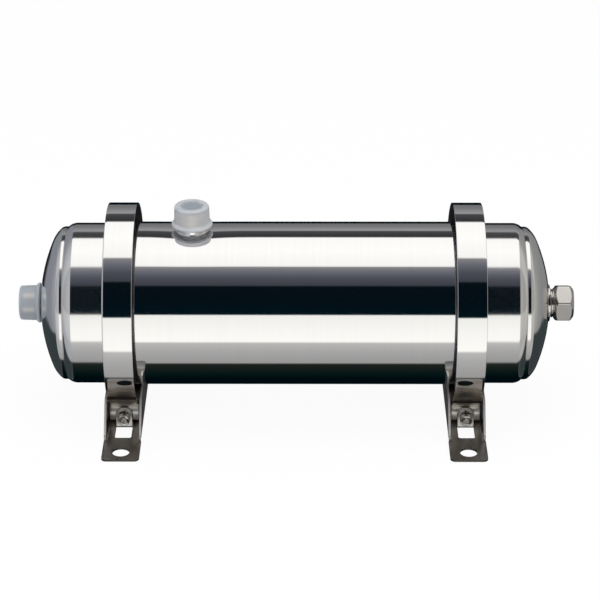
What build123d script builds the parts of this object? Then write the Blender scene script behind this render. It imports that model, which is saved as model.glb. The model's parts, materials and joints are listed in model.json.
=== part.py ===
from build123d import *
from math import acos, cos, degrees, radians, sin, sqrt
import os

# Whole house water filter: a polished stainless housing lies on two folded
# brackets, each with a hoop whose looped ends are drawn together by a screw.
# Millimetres. X runs along the housing, Z is up, and the origin is the centre
# of the four foot holes, on the plane that the brackets stand on.

# Housing
AXIS_HEIGHT = 80.0
TUBE_RADIUS = 57.15
TUBE_WALL = 0.9
TUBE_HALF_LENGTH = 120.0

# Drawn end cups, whose skirts are lapped inside the tube
CUP_WALL = 1.2
CUP_LAP = 14.0
CUP_STRAIGHT = 32.3
CORNER_RADIUS = 9.0
CORNER_TURN = 44.0
SEAM_WIDTH = 0.9
SEAM_DEPTH = 0.45
BEAD_RADIUS = 7.0
BEAD_TURN = 44.4
SHOULDER_RADIUS = 20.0
SHOULDER_TURN = 66.2

# Half inch pipe necks and their dust caps
NECK_RADIUS = 10.478
NECK_BORE_RADIUS = 7.5
NECK_CHAMFER = 1.0
NECK_ROOT_DEPTH = 3.0
OUTLET_INSET = 48.8
OUTLET_CAP_LIFT = 2.4
CAP_LENGTH = 15.4
CAP_RADIUS = 12.3
CAP_TIP_RADIUS = 11.2
CAP_EDGE_RADIUS = 1.6
CAP_FLANGE_RADIUS = 14.1
CAP_FLANGE_THICKNESS = 2.6
CAP_FLANGE_EDGE_RADIUS = 0.5
CAP_END_WALL = 1.6
CAP_DISH_RADIUS = 7.6
CAP_DISH_DEPTH = 0.5
CAP_FIT = 0.06
CAP_END_FIT = 0.25
CAP_SEAT_FIT = 0.1

# Drain boss and plug
BOSS_RADIUS = 13.0
BOSS_PROUD = 0.4
BOSS_LENGTH = 20.0
BOSS_STEP_FIT = 0.8
PLUG_THREAD_RADIUS = 10.1
PLUG_THREAD_FIT = 0.05
PLUG_THREAD_LENGTH = 10.2
PLUG_GAP = 2.8
PLUG_NOSE_RADIUS = 8.9
PLUG_NOSE_LENGTH = 8.4
PLUG_HEX = 24.0
PLUG_HEAD_LENGTH = 13.8
PLUG_INNER_CHAMFER = 2.6
PLUG_OUTER_CHAMFER = 2.55
PLUG_END_RADIUS = 10.5
PLUG_END_CROWN = 0.6
PLUG_CORNER_TILT = 20.0
RING_SECTION_RADIUS = 1.0
RING_RADIUS = 8.55
RING_FIT = 0.05
RING_SIDE_FIT = 0.15
RING_PLACE = 3.0

# Membrane module
MODULE_INSET = 5.3
SLEEVE_RADIUS = 50.0
SLEEVE_WALL = 2.5
SLEEVE_HOLE_RADIUS = 4.0
SLEEVE_HOLE_ROWS = 5
SLEEVE_HOLE_PITCH = 40.0
SLEEVE_HOLES_ROUND = 6
POTTING_LENGTH = 24.0
FIBRE_RIDGES = 24
FIBRE_RIDGE_RADIUS = 5.4
FIBRE_BUNDLE_RADIUS = 41.0
COLLAR_LENGTH = 16.0
COLLAR_FIT = 0.6
COLLAR_INSET = 4.0
SEAL_SECTION_RADIUS = 1.8
SEAL_FIT = 0.05

# Brackets folded from sheet
SHEET = 1.5
BRACKET_WIDTH = 26.0
BRACKET_HALF_LENGTH = 84.5
BRACKET_BEND = 1.5
FOOT_CORNER_RADIUS = 3.5
FOOT_HOLE_RADIUS = 6.0
FOOT_HOLE_INSET = 10.7
WALL_HALF_LENGTH = 58.0
WALL_TOP_HALF_LENGTH = 41.0
WALL_RISE = 1.65
WALL_CORNER_RADIUS = 7.0
TAB_LOOP_GAP = 2.07
TAB_WIDTH = 11.2
TAB_RISE = 7.7
TAB_CORNER_RADIUS = 1.6
TAB_BEND = 0.6
TAB_HOLE_RADIUS = 3.9
WINDOW_LENGTH = 16.0
WINDOW_CORNER_RADIUS = 1.6
WINDOW_SIDE = 0.2

# Hoops with looped ends
HOOP_THICKNESS = 1.2
HOOP_WIDTH = 20.2
LOOP_TURN = 68.936
LOOP_FLOOR_GAP = 0.3
LOOP_CREASE_RADIUS = 0.4
LOOP_THROAT = 0.6
LOOP_SLOT_RADIUS = 5.9
LEFT_TAIL_TURN = 25.5
RIGHT_TAIL_TURN = 18.5

# Trunnions and clamp screws
SCREW_RADIUS = 2.5
SCREW_LENGTH = 80.0
SCREW_CHAMFER = 0.5
SCREW_HEAD_RADIUS = 4.25
SCREW_HEAD_LENGTH = 5.0
SCREW_HEAD_CHAMFER = 0.4
SCREW_SOCKET = 4.0
SCREW_SOCKET_DEPTH = 2.5
SCREW_HEAD_FIT = 0.05
SCREW_REST_FIT = 0.05
THREAD_FIT = 0.05
TRUNNION_RADIUS = 5.75
TRUNNION_FIT = 0.05
TRUNNION_END_INSET = 0.3
TRUNNION_CLEAR_RADIUS = 2.75

# Sizes that follow from those above
CUP_RADIUS = TUBE_RADIUS - TUBE_WALL
CUP_BORE_RADIUS = CUP_RADIUS - CUP_WALL
CORNER_START = TUBE_HALF_LENGTH + CUP_STRAIGHT
OUTLET_PLACE = OUTLET_INSET - TUBE_HALF_LENGTH
MODULE_HALF_LENGTH = CORNER_START - MODULE_INSET
BRACKET_PLACE = TUBE_HALF_LENGTH
FOOT_HOLE_PLACE = BRACKET_HALF_LENGTH - FOOT_HOLE_INSET
WALL_HEIGHT = AXIS_HEIGHT - TUBE_RADIUS + WALL_RISE
LOOP_BORE_RADIUS = TRUNNION_RADIUS + TRUNNION_FIT
LOOP_RADIUS = LOOP_BORE_RADIUS + HOOP_THICKNESS
SCREW_HEIGHT = SHEET + LOOP_FLOOR_GAP + LOOP_RADIUS
LOOP_REACH = (AXIS_HEIGHT - SCREW_HEIGHT) / sin(radians(LOOP_TURN))
LOOP_PLACE = LOOP_REACH * cos(radians(LOOP_TURN))
HOOP_RADIUS = LOOP_REACH - LOOP_BORE_RADIUS
TAB_FACE = LOOP_PLACE + LOOP_RADIUS + TAB_LOOP_GAP + SHEET
TAB_HEIGHT = SCREW_HEIGHT + TAB_RISE
TAB_HOLE_HEIGHT = SCREW_HEIGHT - SCREW_RADIUS - SCREW_REST_FIT + TAB_HOLE_RADIUS


def rod(start, direction, radius, length):
    """A solid cylinder that starts at a point and runs along a direction."""
    return extrude(Plane(origin=start, z_dir=direction) * Circle(radius), amount=length)


def tube(start, direction, radius, bore, length):
    """A cylinder with a bore right through it."""
    return rod(start, direction, radius, length) - rod(start, direction, bore, length)


def on_axis(x):
    """The point of the housing's axis at one place along X."""
    return (x, 0, AXIS_HEIGHT)


def turned(face):
    """A profile drawn as place along X and radius, turned about the housing's axis."""
    return Pos(0, 0, AXIS_HEIGHT) * revolve(face, Axis.X, 360)


def step_arc(point, radius, turn_from, turn_to):
    """An arc whose tangent falls away from the axis direction from one angle to another."""
    def normal(turn):
        return Vector(sin(radians(turn)), cos(radians(turn)))
    centre = Vector(*point) - normal(turn_from) * radius
    middle = centre + normal((turn_from + turn_to) / 2) * radius
    end = centre + normal(turn_to) * radius
    return ThreePointArc(Vector(*point), middle, end), (end.X, end.Y)


def cup_line(inset):
    """One side of the cup's wall from the open rim to the axis, moved inwards by the inset."""
    rim = (TUBE_HALF_LENGTH - CUP_LAP, CUP_RADIUS - inset)
    start = (CORNER_START, CUP_RADIUS - inset)
    corner, corner_end = step_arc(start, CORNER_RADIUS - inset, 0, CORNER_TURN)
    drop = CORNER_RADIUS * (1 - cos(radians(CORNER_TURN)))
    bead_start = (
        CORNER_START + CORNER_RADIUS * sin(radians(CORNER_TURN)) + SEAM_WIDTH,
        CUP_RADIUS - drop - inset,
    )
    seam_depth = SEAM_DEPTH if inset == 0 else 0
    seam = (bead_start[0] - SEAM_WIDTH / 2, bead_start[1] - seam_depth)
    bead, bead_end = step_arc(bead_start, BEAD_RADIUS - inset, 0, BEAD_TURN)
    shoulder, shoulder_end = step_arc(
        bead_end, SHOULDER_RADIUS - inset, BEAD_TURN, SHOULDER_TURN
    )
    bulge = shoulder_end[1] / cos(radians(SHOULDER_TURN))
    dome, tip = step_arc(shoulder_end, bulge, SHOULDER_TURN, 90)
    edges = [
        Line(rim, start),
        corner,
        Line(corner_end, seam),
        Line(seam, bead_start),
        bead,
        shoulder,
        dome,
    ]
    return edges, rim, tip


def dome_radius():
    """The radius that the dome is drawn with."""
    shoulder_foot = cup_line(0)[0][-1] @ 0
    return shoulder_foot.Y / cos(radians(SHOULDER_TURN))


def dome_tip():
    """Where the cup's outer face crosses the axis."""
    return cup_line(0)[2][0]


def end_cup(hole_radius):
    """The drawn cup at the +X end, with a round hole in its dome."""
    outer, outer_rim, outer_tip = cup_line(0)
    inner, inner_rim, inner_tip = cup_line(CUP_WALL)
    closing = [Line(outer_tip, inner_tip), Line(inner_rim, outer_rim)]
    cup = turned(make_face(outer + inner + closing))
    return cup - rod(on_axis(0), (1, 0, 0), hole_radius, outer_tip[0] + CUP_WALL)


def housing_tube():
    """The rolled tube with the outlet's round hole."""
    shell = tube(
        on_axis(-TUBE_HALF_LENGTH), (1, 0, 0), TUBE_RADIUS, CUP_RADIUS, 2 * TUBE_HALF_LENGTH
    )
    return shell - rod((OUTLET_PLACE, 0, AXIS_HEIGHT), (0, 0, 1), NECK_RADIUS, 2 * TUBE_RADIUS)


def pipe_neck(root, mouth):
    """A pipe neck along its own Z, from its root inside the wall to its mouth."""
    neck = tube((0, 0, root), (0, 0, 1), NECK_RADIUS, NECK_BORE_RADIUS, mouth - root)
    rim = neck.edges().filter_by(GeomType.CIRCLE).group_by(Axis.Z)[-1]
    return chamfer(rim.sort_by(SortBy.RADIUS)[-1], NECK_CHAMFER)


def dust_cap():
    """A soft cap along its own Z, with its flange's face at 0 and its closed end at the top."""
    edge = CAP_EDGE_RADIUS
    lip = CAP_FLANGE_EDGE_RADIUS
    bore = NECK_RADIUS + CAP_FIT
    ceiling = CAP_LENGTH - CAP_END_WALL
    dish = CAP_LENGTH - CAP_DISH_DEPTH
    side_end = (CAP_TIP_RADIUS, CAP_LENGTH - edge)
    outline = [
        Line((bore, 0), (CAP_FLANGE_RADIUS - lip, 0)),
        RadiusArc((CAP_FLANGE_RADIUS - lip, 0), (CAP_FLANGE_RADIUS, lip), -lip),
        Line((CAP_FLANGE_RADIUS, lip), (CAP_FLANGE_RADIUS, CAP_FLANGE_THICKNESS - lip)),
        RadiusArc(
            (CAP_FLANGE_RADIUS, CAP_FLANGE_THICKNESS - lip),
            (CAP_FLANGE_RADIUS - lip, CAP_FLANGE_THICKNESS),
            -lip,
        ),
        Line((CAP_FLANGE_RADIUS - lip, CAP_FLANGE_THICKNESS), (CAP_RADIUS, CAP_FLANGE_THICKNESS)),
        Line((CAP_RADIUS, CAP_FLANGE_THICKNESS), side_end),
        RadiusArc(side_end, (CAP_TIP_RADIUS - edge, CAP_LENGTH), -edge),
        Line((CAP_TIP_RADIUS - edge, CAP_LENGTH), (CAP_DISH_RADIUS, CAP_LENGTH)),
        Line((CAP_DISH_RADIUS, CAP_LENGTH), (CAP_DISH_RADIUS - CAP_DISH_DEPTH, dish)),
        Line((CAP_DISH_RADIUS - CAP_DISH_DEPTH, dish), (0, dish)),
        Line((0, dish), (0, ceiling)),
        Line((0, ceiling), (bore, ceiling)),
        Line((bore, ceiling), (bore, 0)),
    ]
    return revolve(Plane.XZ * make_face(outline), Axis.Z, 360)


def neck_reach():
    """How far a neck's mouth lies beyond the cap's flange face."""
    return CAP_LENGTH - CAP_END_WALL - CAP_END_FIT


def inlet_place():
    """The frame whose Z points out of the inlet, with the seated cap's flange face at 0."""
    bulge = dome_radius()
    fall = bulge - sqrt(bulge**2 - (NECK_RADIUS + CAP_FIT) ** 2)
    face = dome_tip() - fall + CAP_SEAT_FIT
    return Location(Plane(origin=on_axis(-face), z_dir=(-1, 0, 0)))


def outlet_place():
    """The frame whose Z points out of the outlet, with the seated cap's flange face at 0."""
    return Pos(OUTLET_PLACE, 0, AXIS_HEIGHT + TUBE_RADIUS + OUTLET_CAP_LIFT)


def drain_boss():
    """The threaded boss in the drain end's dome, with a smooth bore for the plug's seal."""
    mouth = dome_tip() + BOSS_PROUD
    root = mouth - BOSS_LENGTH
    boss = rod(on_axis(root), (1, 0, 0), BOSS_RADIUS, BOSS_LENGTH)
    seal_bore = RING_RADIUS + RING_SECTION_RADIUS + RING_FIT
    thread_bore = PLUG_THREAD_RADIUS + PLUG_THREAD_FIT
    step = ring_place() + RING_SECTION_RADIUS + BOSS_STEP_FIT
    boss -= rod(on_axis(root), (1, 0, 0), seal_bore, BOSS_LENGTH)
    return boss - rod(on_axis(step), (1, 0, 0), thread_bore, mouth - step)


def plug_head_place():
    """Where the plug's head begins along X."""
    return dome_tip() + BOSS_PROUD + PLUG_GAP


def ring_place():
    """Where the plug's seal ring lies along X."""
    return plug_head_place() - PLUG_THREAD_LENGTH - PLUG_NOSE_LENGTH + RING_PLACE


def drain_plug():
    """The turned plug: threaded shank, grooved nose and a hexagon chamfered at both ends."""
    head = plug_head_place()
    corner = PLUG_HEX / sqrt(3)
    end = head + PLUG_HEAD_LENGTH
    thread_end = head - PLUG_THREAD_LENGTH
    nose_end = thread_end - PLUG_NOSE_LENGTH
    flank = end - PLUG_END_CROWN - PLUG_OUTER_CHAMFER
    outline = Polyline(
        (nose_end, 0),
        (nose_end, PLUG_NOSE_RADIUS),
        (thread_end, PLUG_NOSE_RADIUS),
        (thread_end, PLUG_THREAD_RADIUS),
        (head, PLUG_THREAD_RADIUS),
        (head + PLUG_INNER_CHAMFER, corner),
        (flank, corner),
        (end - PLUG_END_CROWN, PLUG_END_RADIUS),
        (end, PLUG_END_RADIUS - PLUG_END_CROWN),
        (end, 0),
        close=True,
    )
    blank = turned(make_face(outline))
    hexagon = RegularPolygon(PLUG_HEX / 2, 6, major_radius=False)
    plane = Plane(origin=on_axis(head), x_dir=(0, -1, 0), z_dir=(1, 0, 0))
    # The turning about the plane's normal brings one corner up from -Y by the tilt.
    shaft = rod(on_axis(nose_end), (1, 0, 0), PLUG_THREAD_RADIUS, head - nose_end)
    prism = extrude(plane * Rot(0, 0, -PLUG_CORNER_TILT) * hexagon, amount=PLUG_HEAD_LENGTH)
    groove_radius = RING_RADIUS - RING_SECTION_RADIUS - RING_FIT
    half_groove = RING_SECTION_RADIUS + RING_SIDE_FIT
    groove = tube(
        on_axis(ring_place() - half_groove),
        (1, 0, 0),
        PLUG_THREAD_RADIUS,
        groove_radius,
        2 * half_groove,
    )
    return blank & (prism + shaft) - groove


def seal_ring(x, radius, section_radius):
    """A round-section ring about the housing's axis."""
    return Plane(origin=on_axis(x), z_dir=(1, 0, 0)).location * Torus(radius, section_radius)


def membrane_sleeve():
    """The module's tube, drilled in rows so that filtered water leaves the bundle."""
    sleeve = tube(
        on_axis(-MODULE_HALF_LENGTH),
        (1, 0, 0),
        SLEEVE_RADIUS,
        SLEEVE_RADIUS - SLEEVE_WALL,
        2 * MODULE_HALF_LENGTH,
    )
    middle_row = (SLEEVE_HOLE_ROWS - 1) / 2
    for row in range(SLEEVE_HOLE_ROWS):
        x = (row - middle_row) * SLEEVE_HOLE_PITCH
        for turn in range(SLEEVE_HOLES_ROUND):
            angle = radians(360 * turn / SLEEVE_HOLES_ROUND)
            way = (0, cos(angle), sin(angle))
            sleeve -= rod(on_axis(x), way, SLEEVE_HOLE_RADIUS, 2 * SLEEVE_RADIUS)
    return sleeve


def membrane_fibres():
    """The bundle of hollow fibres between the potting blocks, with a ridged outside."""
    outline = Circle(FIBRE_BUNDLE_RADIUS)
    for ridge in range(FIBRE_RIDGES):
        turn = Rot(0, 0, 360 * ridge / FIBRE_RIDGES)
        outline += turn * Pos(FIBRE_BUNDLE_RADIUS, 0) * Circle(FIBRE_RIDGE_RADIUS)
    half_length = MODULE_HALF_LENGTH - POTTING_LENGTH
    return extrude(
        Plane(origin=on_axis(-half_length), z_dir=(1, 0, 0)) * outline, amount=2 * half_length
    )


def potting_block():
    """The cast resin disc that holds the fibres at the +X end of the sleeve."""
    start = MODULE_HALF_LENGTH - POTTING_LENGTH
    return rod(on_axis(start), (1, 0, 0), SLEEVE_RADIUS - SLEEVE_WALL, POTTING_LENGTH)


def seal_place():
    """Where the module's seal ring lies along X at the +X end."""
    return MODULE_HALF_LENGTH - COLLAR_INSET - COLLAR_LENGTH / 2


def seal_ring_radius():
    """The seal ring's middle radius, set by the cup's bore that it bears on."""
    return CUP_BORE_RADIUS - SEAL_FIT - SEAL_SECTION_RADIUS


def seal_collar():
    """The grooved collar on the +X end of the sleeve that centres it in the cup."""
    start = MODULE_HALF_LENGTH - COLLAR_INSET - COLLAR_LENGTH
    collar_radius = CUP_BORE_RADIUS - COLLAR_FIT
    collar = tube(on_axis(start), (1, 0, 0), collar_radius, SLEEVE_RADIUS, COLLAR_LENGTH)
    floor = seal_ring_radius() - SEAL_SECTION_RADIUS
    width = 2 * SEAL_SECTION_RADIUS
    groove_start = on_axis(seal_place() - width / 2)
    return collar - tube(groove_start, (1, 0, 0), collar_radius, floor, width)


def mirrored_x(shape):
    """The same piece at the -X end."""
    return mirror(shape, Plane.YZ)


def bracket_channel():
    """The folded middle of a bracket: a floor and two walls that carry the housing."""
    half_width = BRACKET_WIDTH / 2
    bend_outside = BRACKET_BEND + SHEET
    outer = Rectangle(BRACKET_WIDTH, 2 * WALL_HEIGHT)
    outer = fillet(outer.vertices(), bend_outside)
    inner = Rectangle(BRACKET_WIDTH - 2 * SHEET, 2 * (WALL_HEIGHT - SHEET))
    inner = fillet(inner.vertices(), BRACKET_BEND)
    section = Pos(0, WALL_HEIGHT) * (outer - inner)
    section -= Pos(0, 2 * WALL_HEIGHT) * Rectangle(2 * half_width, 2 * WALL_HEIGHT)
    along = Plane(origin=(0, WALL_HALF_LENGTH, 0), x_dir=(1, 0, 0), z_dir=(0, -1, 0))
    channel = extrude(along * section, amount=2 * WALL_HALF_LENGTH)
    side = Polyline(
        (-WALL_HALF_LENGTH, 0),
        (-WALL_HALF_LENGTH, bend_outside),
        (-WALL_TOP_HALF_LENGTH, WALL_HEIGHT),
        (WALL_TOP_HALF_LENGTH, WALL_HEIGHT),
        (WALL_HALF_LENGTH, bend_outside),
        (WALL_HALF_LENGTH, 0),
        close=True,
    )
    side = make_face(side)
    tops = side.vertices().group_by(Axis.Y)[-1]
    side = fillet(tops, WALL_CORNER_RADIUS)
    across = Plane(origin=(-half_width, 0, 0), x_dir=(0, 1, 0), z_dir=(1, 0, 0))
    channel &= extrude(across * side, amount=BRACKET_WIDTH)
    return channel - rod((-half_width, 0, AXIS_HEIGHT), (1, 0, 0), TUBE_RADIUS, BRACKET_WIDTH)


def bracket_foot():
    """The front foot, a flat tongue with two rounded corners and a round hole."""
    length = BRACKET_HALF_LENGTH - WALL_HALF_LENGTH
    middle = -(BRACKET_HALF_LENGTH + WALL_HALF_LENGTH) / 2
    plate = Pos(0, middle) * Rectangle(BRACKET_WIDTH, length)
    plate = fillet(plate.vertices().group_by(Axis.Y)[0], FOOT_CORNER_RADIUS)
    plate -= Pos(0, -FOOT_HOLE_PLACE) * Circle(FOOT_HOLE_RADIUS)
    return extrude(plate, amount=SHEET)


def bracket_window():
    """The cutter for the front window that the tab was sheared from."""
    near = TAB_FACE - SHEET - TAB_BEND
    far = TAB_FACE + WINDOW_LENGTH
    shape = Rectangle(TAB_WIDTH + 2 * WINDOW_SIDE, far - near)
    shape = fillet(shape.vertices().group_by(Axis.Y)[0], WINDOW_CORNER_RADIUS)
    return extrude(Pos(0, -(near + far) / 2) * shape, amount=SHEET)


def bracket_tab():
    """The front tab, bent up from the window's edge, with the screw's hole."""
    back = TAB_FACE - SHEET
    root = back - TAB_BEND
    outside = TAB_BEND + SHEET
    corner = sin(radians(45))
    outer_middle = (-(TAB_FACE - outside + outside * corner), outside - outside * corner)
    inner_middle = (-(root + TAB_BEND * corner), SHEET + TAB_BEND - TAB_BEND * corner)
    outline = [
        Line((-root, 0), (-root, SHEET)),
        ThreePointArc((-root, SHEET), inner_middle, (-back, SHEET + TAB_BEND)),
        Line((-back, SHEET + TAB_BEND), (-back, TAB_HEIGHT)),
        Line((-back, TAB_HEIGHT), (-TAB_FACE, TAB_HEIGHT)),
        Line((-TAB_FACE, TAB_HEIGHT), (-TAB_FACE, outside)),
        ThreePointArc((-TAB_FACE, outside), outer_middle, (-(TAB_FACE - outside), 0)),
    ]
    across = Plane(origin=(-TAB_WIDTH / 2, 0, 0), x_dir=(0, 1, 0), z_dir=(1, 0, 0))
    tab = extrude(across * make_face(outline), amount=TAB_WIDTH)
    tops = tab.edges().filter_by(Axis.Y).group_by(Axis.Z)[-1]
    tab = fillet(tops, TAB_CORNER_RADIUS)
    return tab - rod((0, 0, TAB_HOLE_HEIGHT), (0, -1, 0), TAB_HOLE_RADIUS, 2 * TAB_FACE)


def both_sides(shape):
    """A front piece together with its mirror image at the rear."""
    return shape + mirror(shape, Plane.XZ)


def bracket():
    """One bracket, standing on Z 0 with its middle at the origin."""
    body = bracket_channel() + both_sides(bracket_foot())
    body -= both_sides(bracket_window())
    return body + both_sides(bracket_tab())


def below(radius, turn):
    """A point of a hoop's section, turned below the horizontal at the front of the axis."""
    return (-radius * cos(radians(turn)), -radius * sin(radians(turn)))


def sector(outer, inner, turn_from, turn_to):
    """The part of a ring's section between two angles below the horizontal at the front."""
    far = 2 * outer
    middle = (turn_from + turn_to) / 2
    wedge = Polyline(
        (0, 0), below(far, turn_from), below(2 * far, middle), below(far, turn_to), close=True
    )
    return (Circle(outer) - Circle(inner)) & make_face(wedge)


def hoop_loop(tail_turn):
    """The front loop's section: the strip wraps the trunnion and its tail lies on the hoop."""
    tail_radius = HOOP_RADIUS + HOOP_THICKNESS
    crease_reach = tail_radius + LOOP_CREASE_RADIUS
    span = LOOP_RADIUS + LOOP_CREASE_RADIUS
    back = (crease_reach**2 + LOOP_REACH**2 - span**2) / (2 * crease_reach * LOOP_REACH)
    crease_turn = LOOP_TURN - degrees(acos(back))
    throat_turn = crease_turn + degrees(LOOP_THROAT / HOOP_RADIUS)
    loop_centre = below(LOOP_REACH, LOOP_TURN)
    crease_centre = below(crease_reach, crease_turn)
    web = make_face(
        Polyline(
            below(HOOP_RADIUS, crease_turn),
            below(HOOP_RADIUS, LOOP_TURN),
            loop_centre,
            crease_centre,
            close=True,
        )
    )
    hollow = make_face(
        Polyline(
            below(HOOP_RADIUS - HOOP_THICKNESS, throat_turn),
            below(HOOP_RADIUS - HOOP_THICKNESS, LOOP_TURN),
            loop_centre,
            crease_centre,
            close=True,
        )
    )
    hollow -= Circle(HOOP_RADIUS)
    hollow -= Pos(*crease_centre) * Circle(LOOP_CREASE_RADIUS + HOOP_THICKNESS)
    tail = sector(tail_radius, HOOP_RADIUS, LOOP_TURN - tail_turn, LOOP_TURN)
    wrap = tail + Pos(*loop_centre) * Circle(LOOP_RADIUS) + web
    wrap -= Pos(*crease_centre) * Circle(LOOP_CREASE_RADIUS)
    return wrap - Pos(*loop_centre) * Circle(LOOP_BORE_RADIUS) - hollow


def hoop(tail_turn):
    """One hoop: a strip round the housing whose ends are folded back into loops."""
    inside = HOOP_RADIUS - HOOP_THICKNESS
    ring = Circle(HOOP_RADIUS) - Circle(inside)
    ring -= sector(2 * HOOP_RADIUS, inside / 2, LOOP_TURN, 180 - LOOP_TURN)
    loop = hoop_loop(tail_turn)
    section = ring + loop + mirror(loop, Plane.YZ)
    across = Plane(origin=(-HOOP_WIDTH / 2, 0, AXIS_HEIGHT), x_dir=(0, 1, 0), z_dir=(1, 0, 0))
    band = extrude(across * section, amount=HOOP_WIDTH)
    slot_start = (0, -HOOP_RADIUS, SCREW_HEIGHT)
    return band - rod(slot_start, (0, 1, 0), LOOP_SLOT_RADIUS, 2 * HOOP_RADIUS)


def trunnion(y, hole_radius):
    """A round bar in a loop, drilled across for the screw."""
    length = HOOP_WIDTH - 2 * TRUNNION_END_INSET
    bar = rod((-length / 2, y, SCREW_HEIGHT), (1, 0, 0), TRUNNION_RADIUS, length)
    across = (0, y - 2 * TRUNNION_RADIUS, SCREW_HEIGHT)
    return bar - rod(across, (0, 1, 0), hole_radius, 4 * TRUNNION_RADIUS)


def clamp_screw():
    """A socket head screw along Y, with its head on the front tab."""
    seat = -TAB_FACE - SCREW_HEAD_FIT
    top = seat - SCREW_HEAD_LENGTH
    head = rod((0, seat, SCREW_HEIGHT), (0, -1, 0), SCREW_HEAD_RADIUS, SCREW_HEAD_LENGTH)
    rim = head.edges().filter_by(GeomType.CIRCLE).sort_by(Axis.Y)[0]
    head = chamfer(rim, SCREW_HEAD_CHAMFER)
    shank = rod((0, seat, SCREW_HEIGHT), (0, 1, 0), SCREW_RADIUS, SCREW_LENGTH)
    tip = shank.edges().filter_by(GeomType.CIRCLE).sort_by(Axis.Y)[-1]
    shank = chamfer(tip, SCREW_CHAMFER)
    mouth = Plane(origin=(0, top, SCREW_HEIGHT), z_dir=(0, 1, 0))
    socket = extrude(
        mouth * RegularPolygon(SCREW_SOCKET / 2, 6, major_radius=False), amount=SCREW_SOCKET_DEPTH
    )
    return head + shank - socket


def parts():
    """Every piece by its name, in place."""
    neck_root = -(OUTLET_CAP_LIFT + TUBE_WALL)
    end_root = -(CUP_WALL + NECK_ROOT_DEPTH)
    inlet = inlet_place()
    outlet = outlet_place()
    pieces = {
        "housing_tube": housing_tube(),
        "left_end_cap": mirrored_x(end_cup(NECK_RADIUS)),
        "right_end_cap": end_cup(BOSS_RADIUS),
        "inlet_neck": inlet * pipe_neck(end_root, neck_reach()),
        "outlet_neck": outlet * pipe_neck(neck_root, neck_reach()),
        "inlet_dust_cap": inlet * dust_cap(),
        "outlet_dust_cap": outlet * dust_cap(),
        "drain_boss": drain_boss(),
        "drain_plug": drain_plug(),
        "drain_plug_o_ring": seal_ring(ring_place(), RING_RADIUS, RING_SECTION_RADIUS),
        "membrane_sleeve": membrane_sleeve(),
        "membrane_fibres": membrane_fibres(),
    }
    module_ends = {
        "potting_block": potting_block(),
        "seal_collar": seal_collar(),
        "module_o_ring": seal_ring(seal_place(), seal_ring_radius(), SEAL_SECTION_RADIUS),
    }
    for name, piece in module_ends.items():
        pieces["right_" + name] = piece
        pieces["left_" + name] = mirrored_x(piece)
    clamp = {
        "bracket": bracket(),
        "front_trunnion": trunnion(-LOOP_PLACE, TRUNNION_CLEAR_RADIUS),
        "rear_trunnion": trunnion(LOOP_PLACE, SCREW_RADIUS + THREAD_FIT),
        "clamp_screw": clamp_screw(),
    }
    for name, piece in clamp.items():
        pieces["left_" + name] = Pos(-BRACKET_PLACE, 0, 0) * piece
        pieces["right_" + name] = Pos(BRACKET_PLACE, 0, 0) * piece
    pieces["left_hoop"] = Pos(-BRACKET_PLACE, 0, 0) * hoop(LEFT_TAIL_TURN)
    pieces["right_hoop"] = Pos(BRACKET_PLACE, 0, 0) * hoop(RIGHT_TAIL_TURN)
    return pieces


os.makedirs("parts", exist_ok=True)
for name, piece in parts().items():
    export_step(piece, "parts/" + name + ".step")
    box = piece.bounding_box()
    print(name, round(piece.volume), [round(v, 2) for v in (*box.min, *box.max)])
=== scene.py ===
# %% [markdown]
# # Whole house water filter
# A polished stainless housing lies in two folded sheet brackets. Two hoops go round it,
# and screws draw their looped ends together. This script dresses the filter's solid
# frame: it builds the surfaces that mirror their surroundings, and gives every piece
# the finish of the real one.

# %% Frame
import json
import math
import bmesh
import bpy
import numpy as np
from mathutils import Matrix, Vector


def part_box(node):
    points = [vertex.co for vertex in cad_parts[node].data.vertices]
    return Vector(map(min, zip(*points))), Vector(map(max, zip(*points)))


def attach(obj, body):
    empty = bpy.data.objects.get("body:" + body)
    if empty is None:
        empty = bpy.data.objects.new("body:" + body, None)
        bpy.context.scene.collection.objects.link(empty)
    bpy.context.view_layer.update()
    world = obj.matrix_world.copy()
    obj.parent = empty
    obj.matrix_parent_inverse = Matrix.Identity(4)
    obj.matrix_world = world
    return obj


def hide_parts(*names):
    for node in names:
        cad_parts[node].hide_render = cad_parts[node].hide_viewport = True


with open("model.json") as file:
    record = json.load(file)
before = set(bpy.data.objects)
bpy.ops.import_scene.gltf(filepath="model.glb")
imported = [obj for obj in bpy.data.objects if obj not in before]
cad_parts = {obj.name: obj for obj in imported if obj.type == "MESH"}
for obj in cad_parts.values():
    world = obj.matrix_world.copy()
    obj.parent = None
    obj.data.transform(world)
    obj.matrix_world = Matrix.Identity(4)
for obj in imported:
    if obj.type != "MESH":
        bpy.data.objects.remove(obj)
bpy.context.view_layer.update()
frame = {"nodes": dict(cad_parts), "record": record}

# %% [markdown]
# ## Measures
# Metal workers give sizes in millimetres, and Blender's unit here is the metre. All the
# measures below are in millimetres, and a shape is turned to metres when it becomes a
# mesh. The housing's axis runs along X, 80 mm above the plane that the brackets stand on.

# %% Measures of the housing
MM = 0.001
AXIS_HEIGHT = 80.0
TUBE_RADIUS = 57.15
TUBE_WALL = 0.9
TUBE_HALF = 120.0
CUP_WALL = 1.2
SHEET = 1.5
NECK_RADIUS = 10.478
OUTLET_PLACE = -71.2
HOOP_PLACE = 120.0
CUP_RADIUS = TUBE_RADIUS - TUBE_WALL
print("tube across:", 2 * TUBE_RADIUS, "mm")


# %% [markdown]
# ## Curves as arrays
# A turned or bent metal part is drawn by its section: straight runs joined by arcs. Each
# arc is computed as a whole array of points from its centre, radius and two angles.

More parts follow.
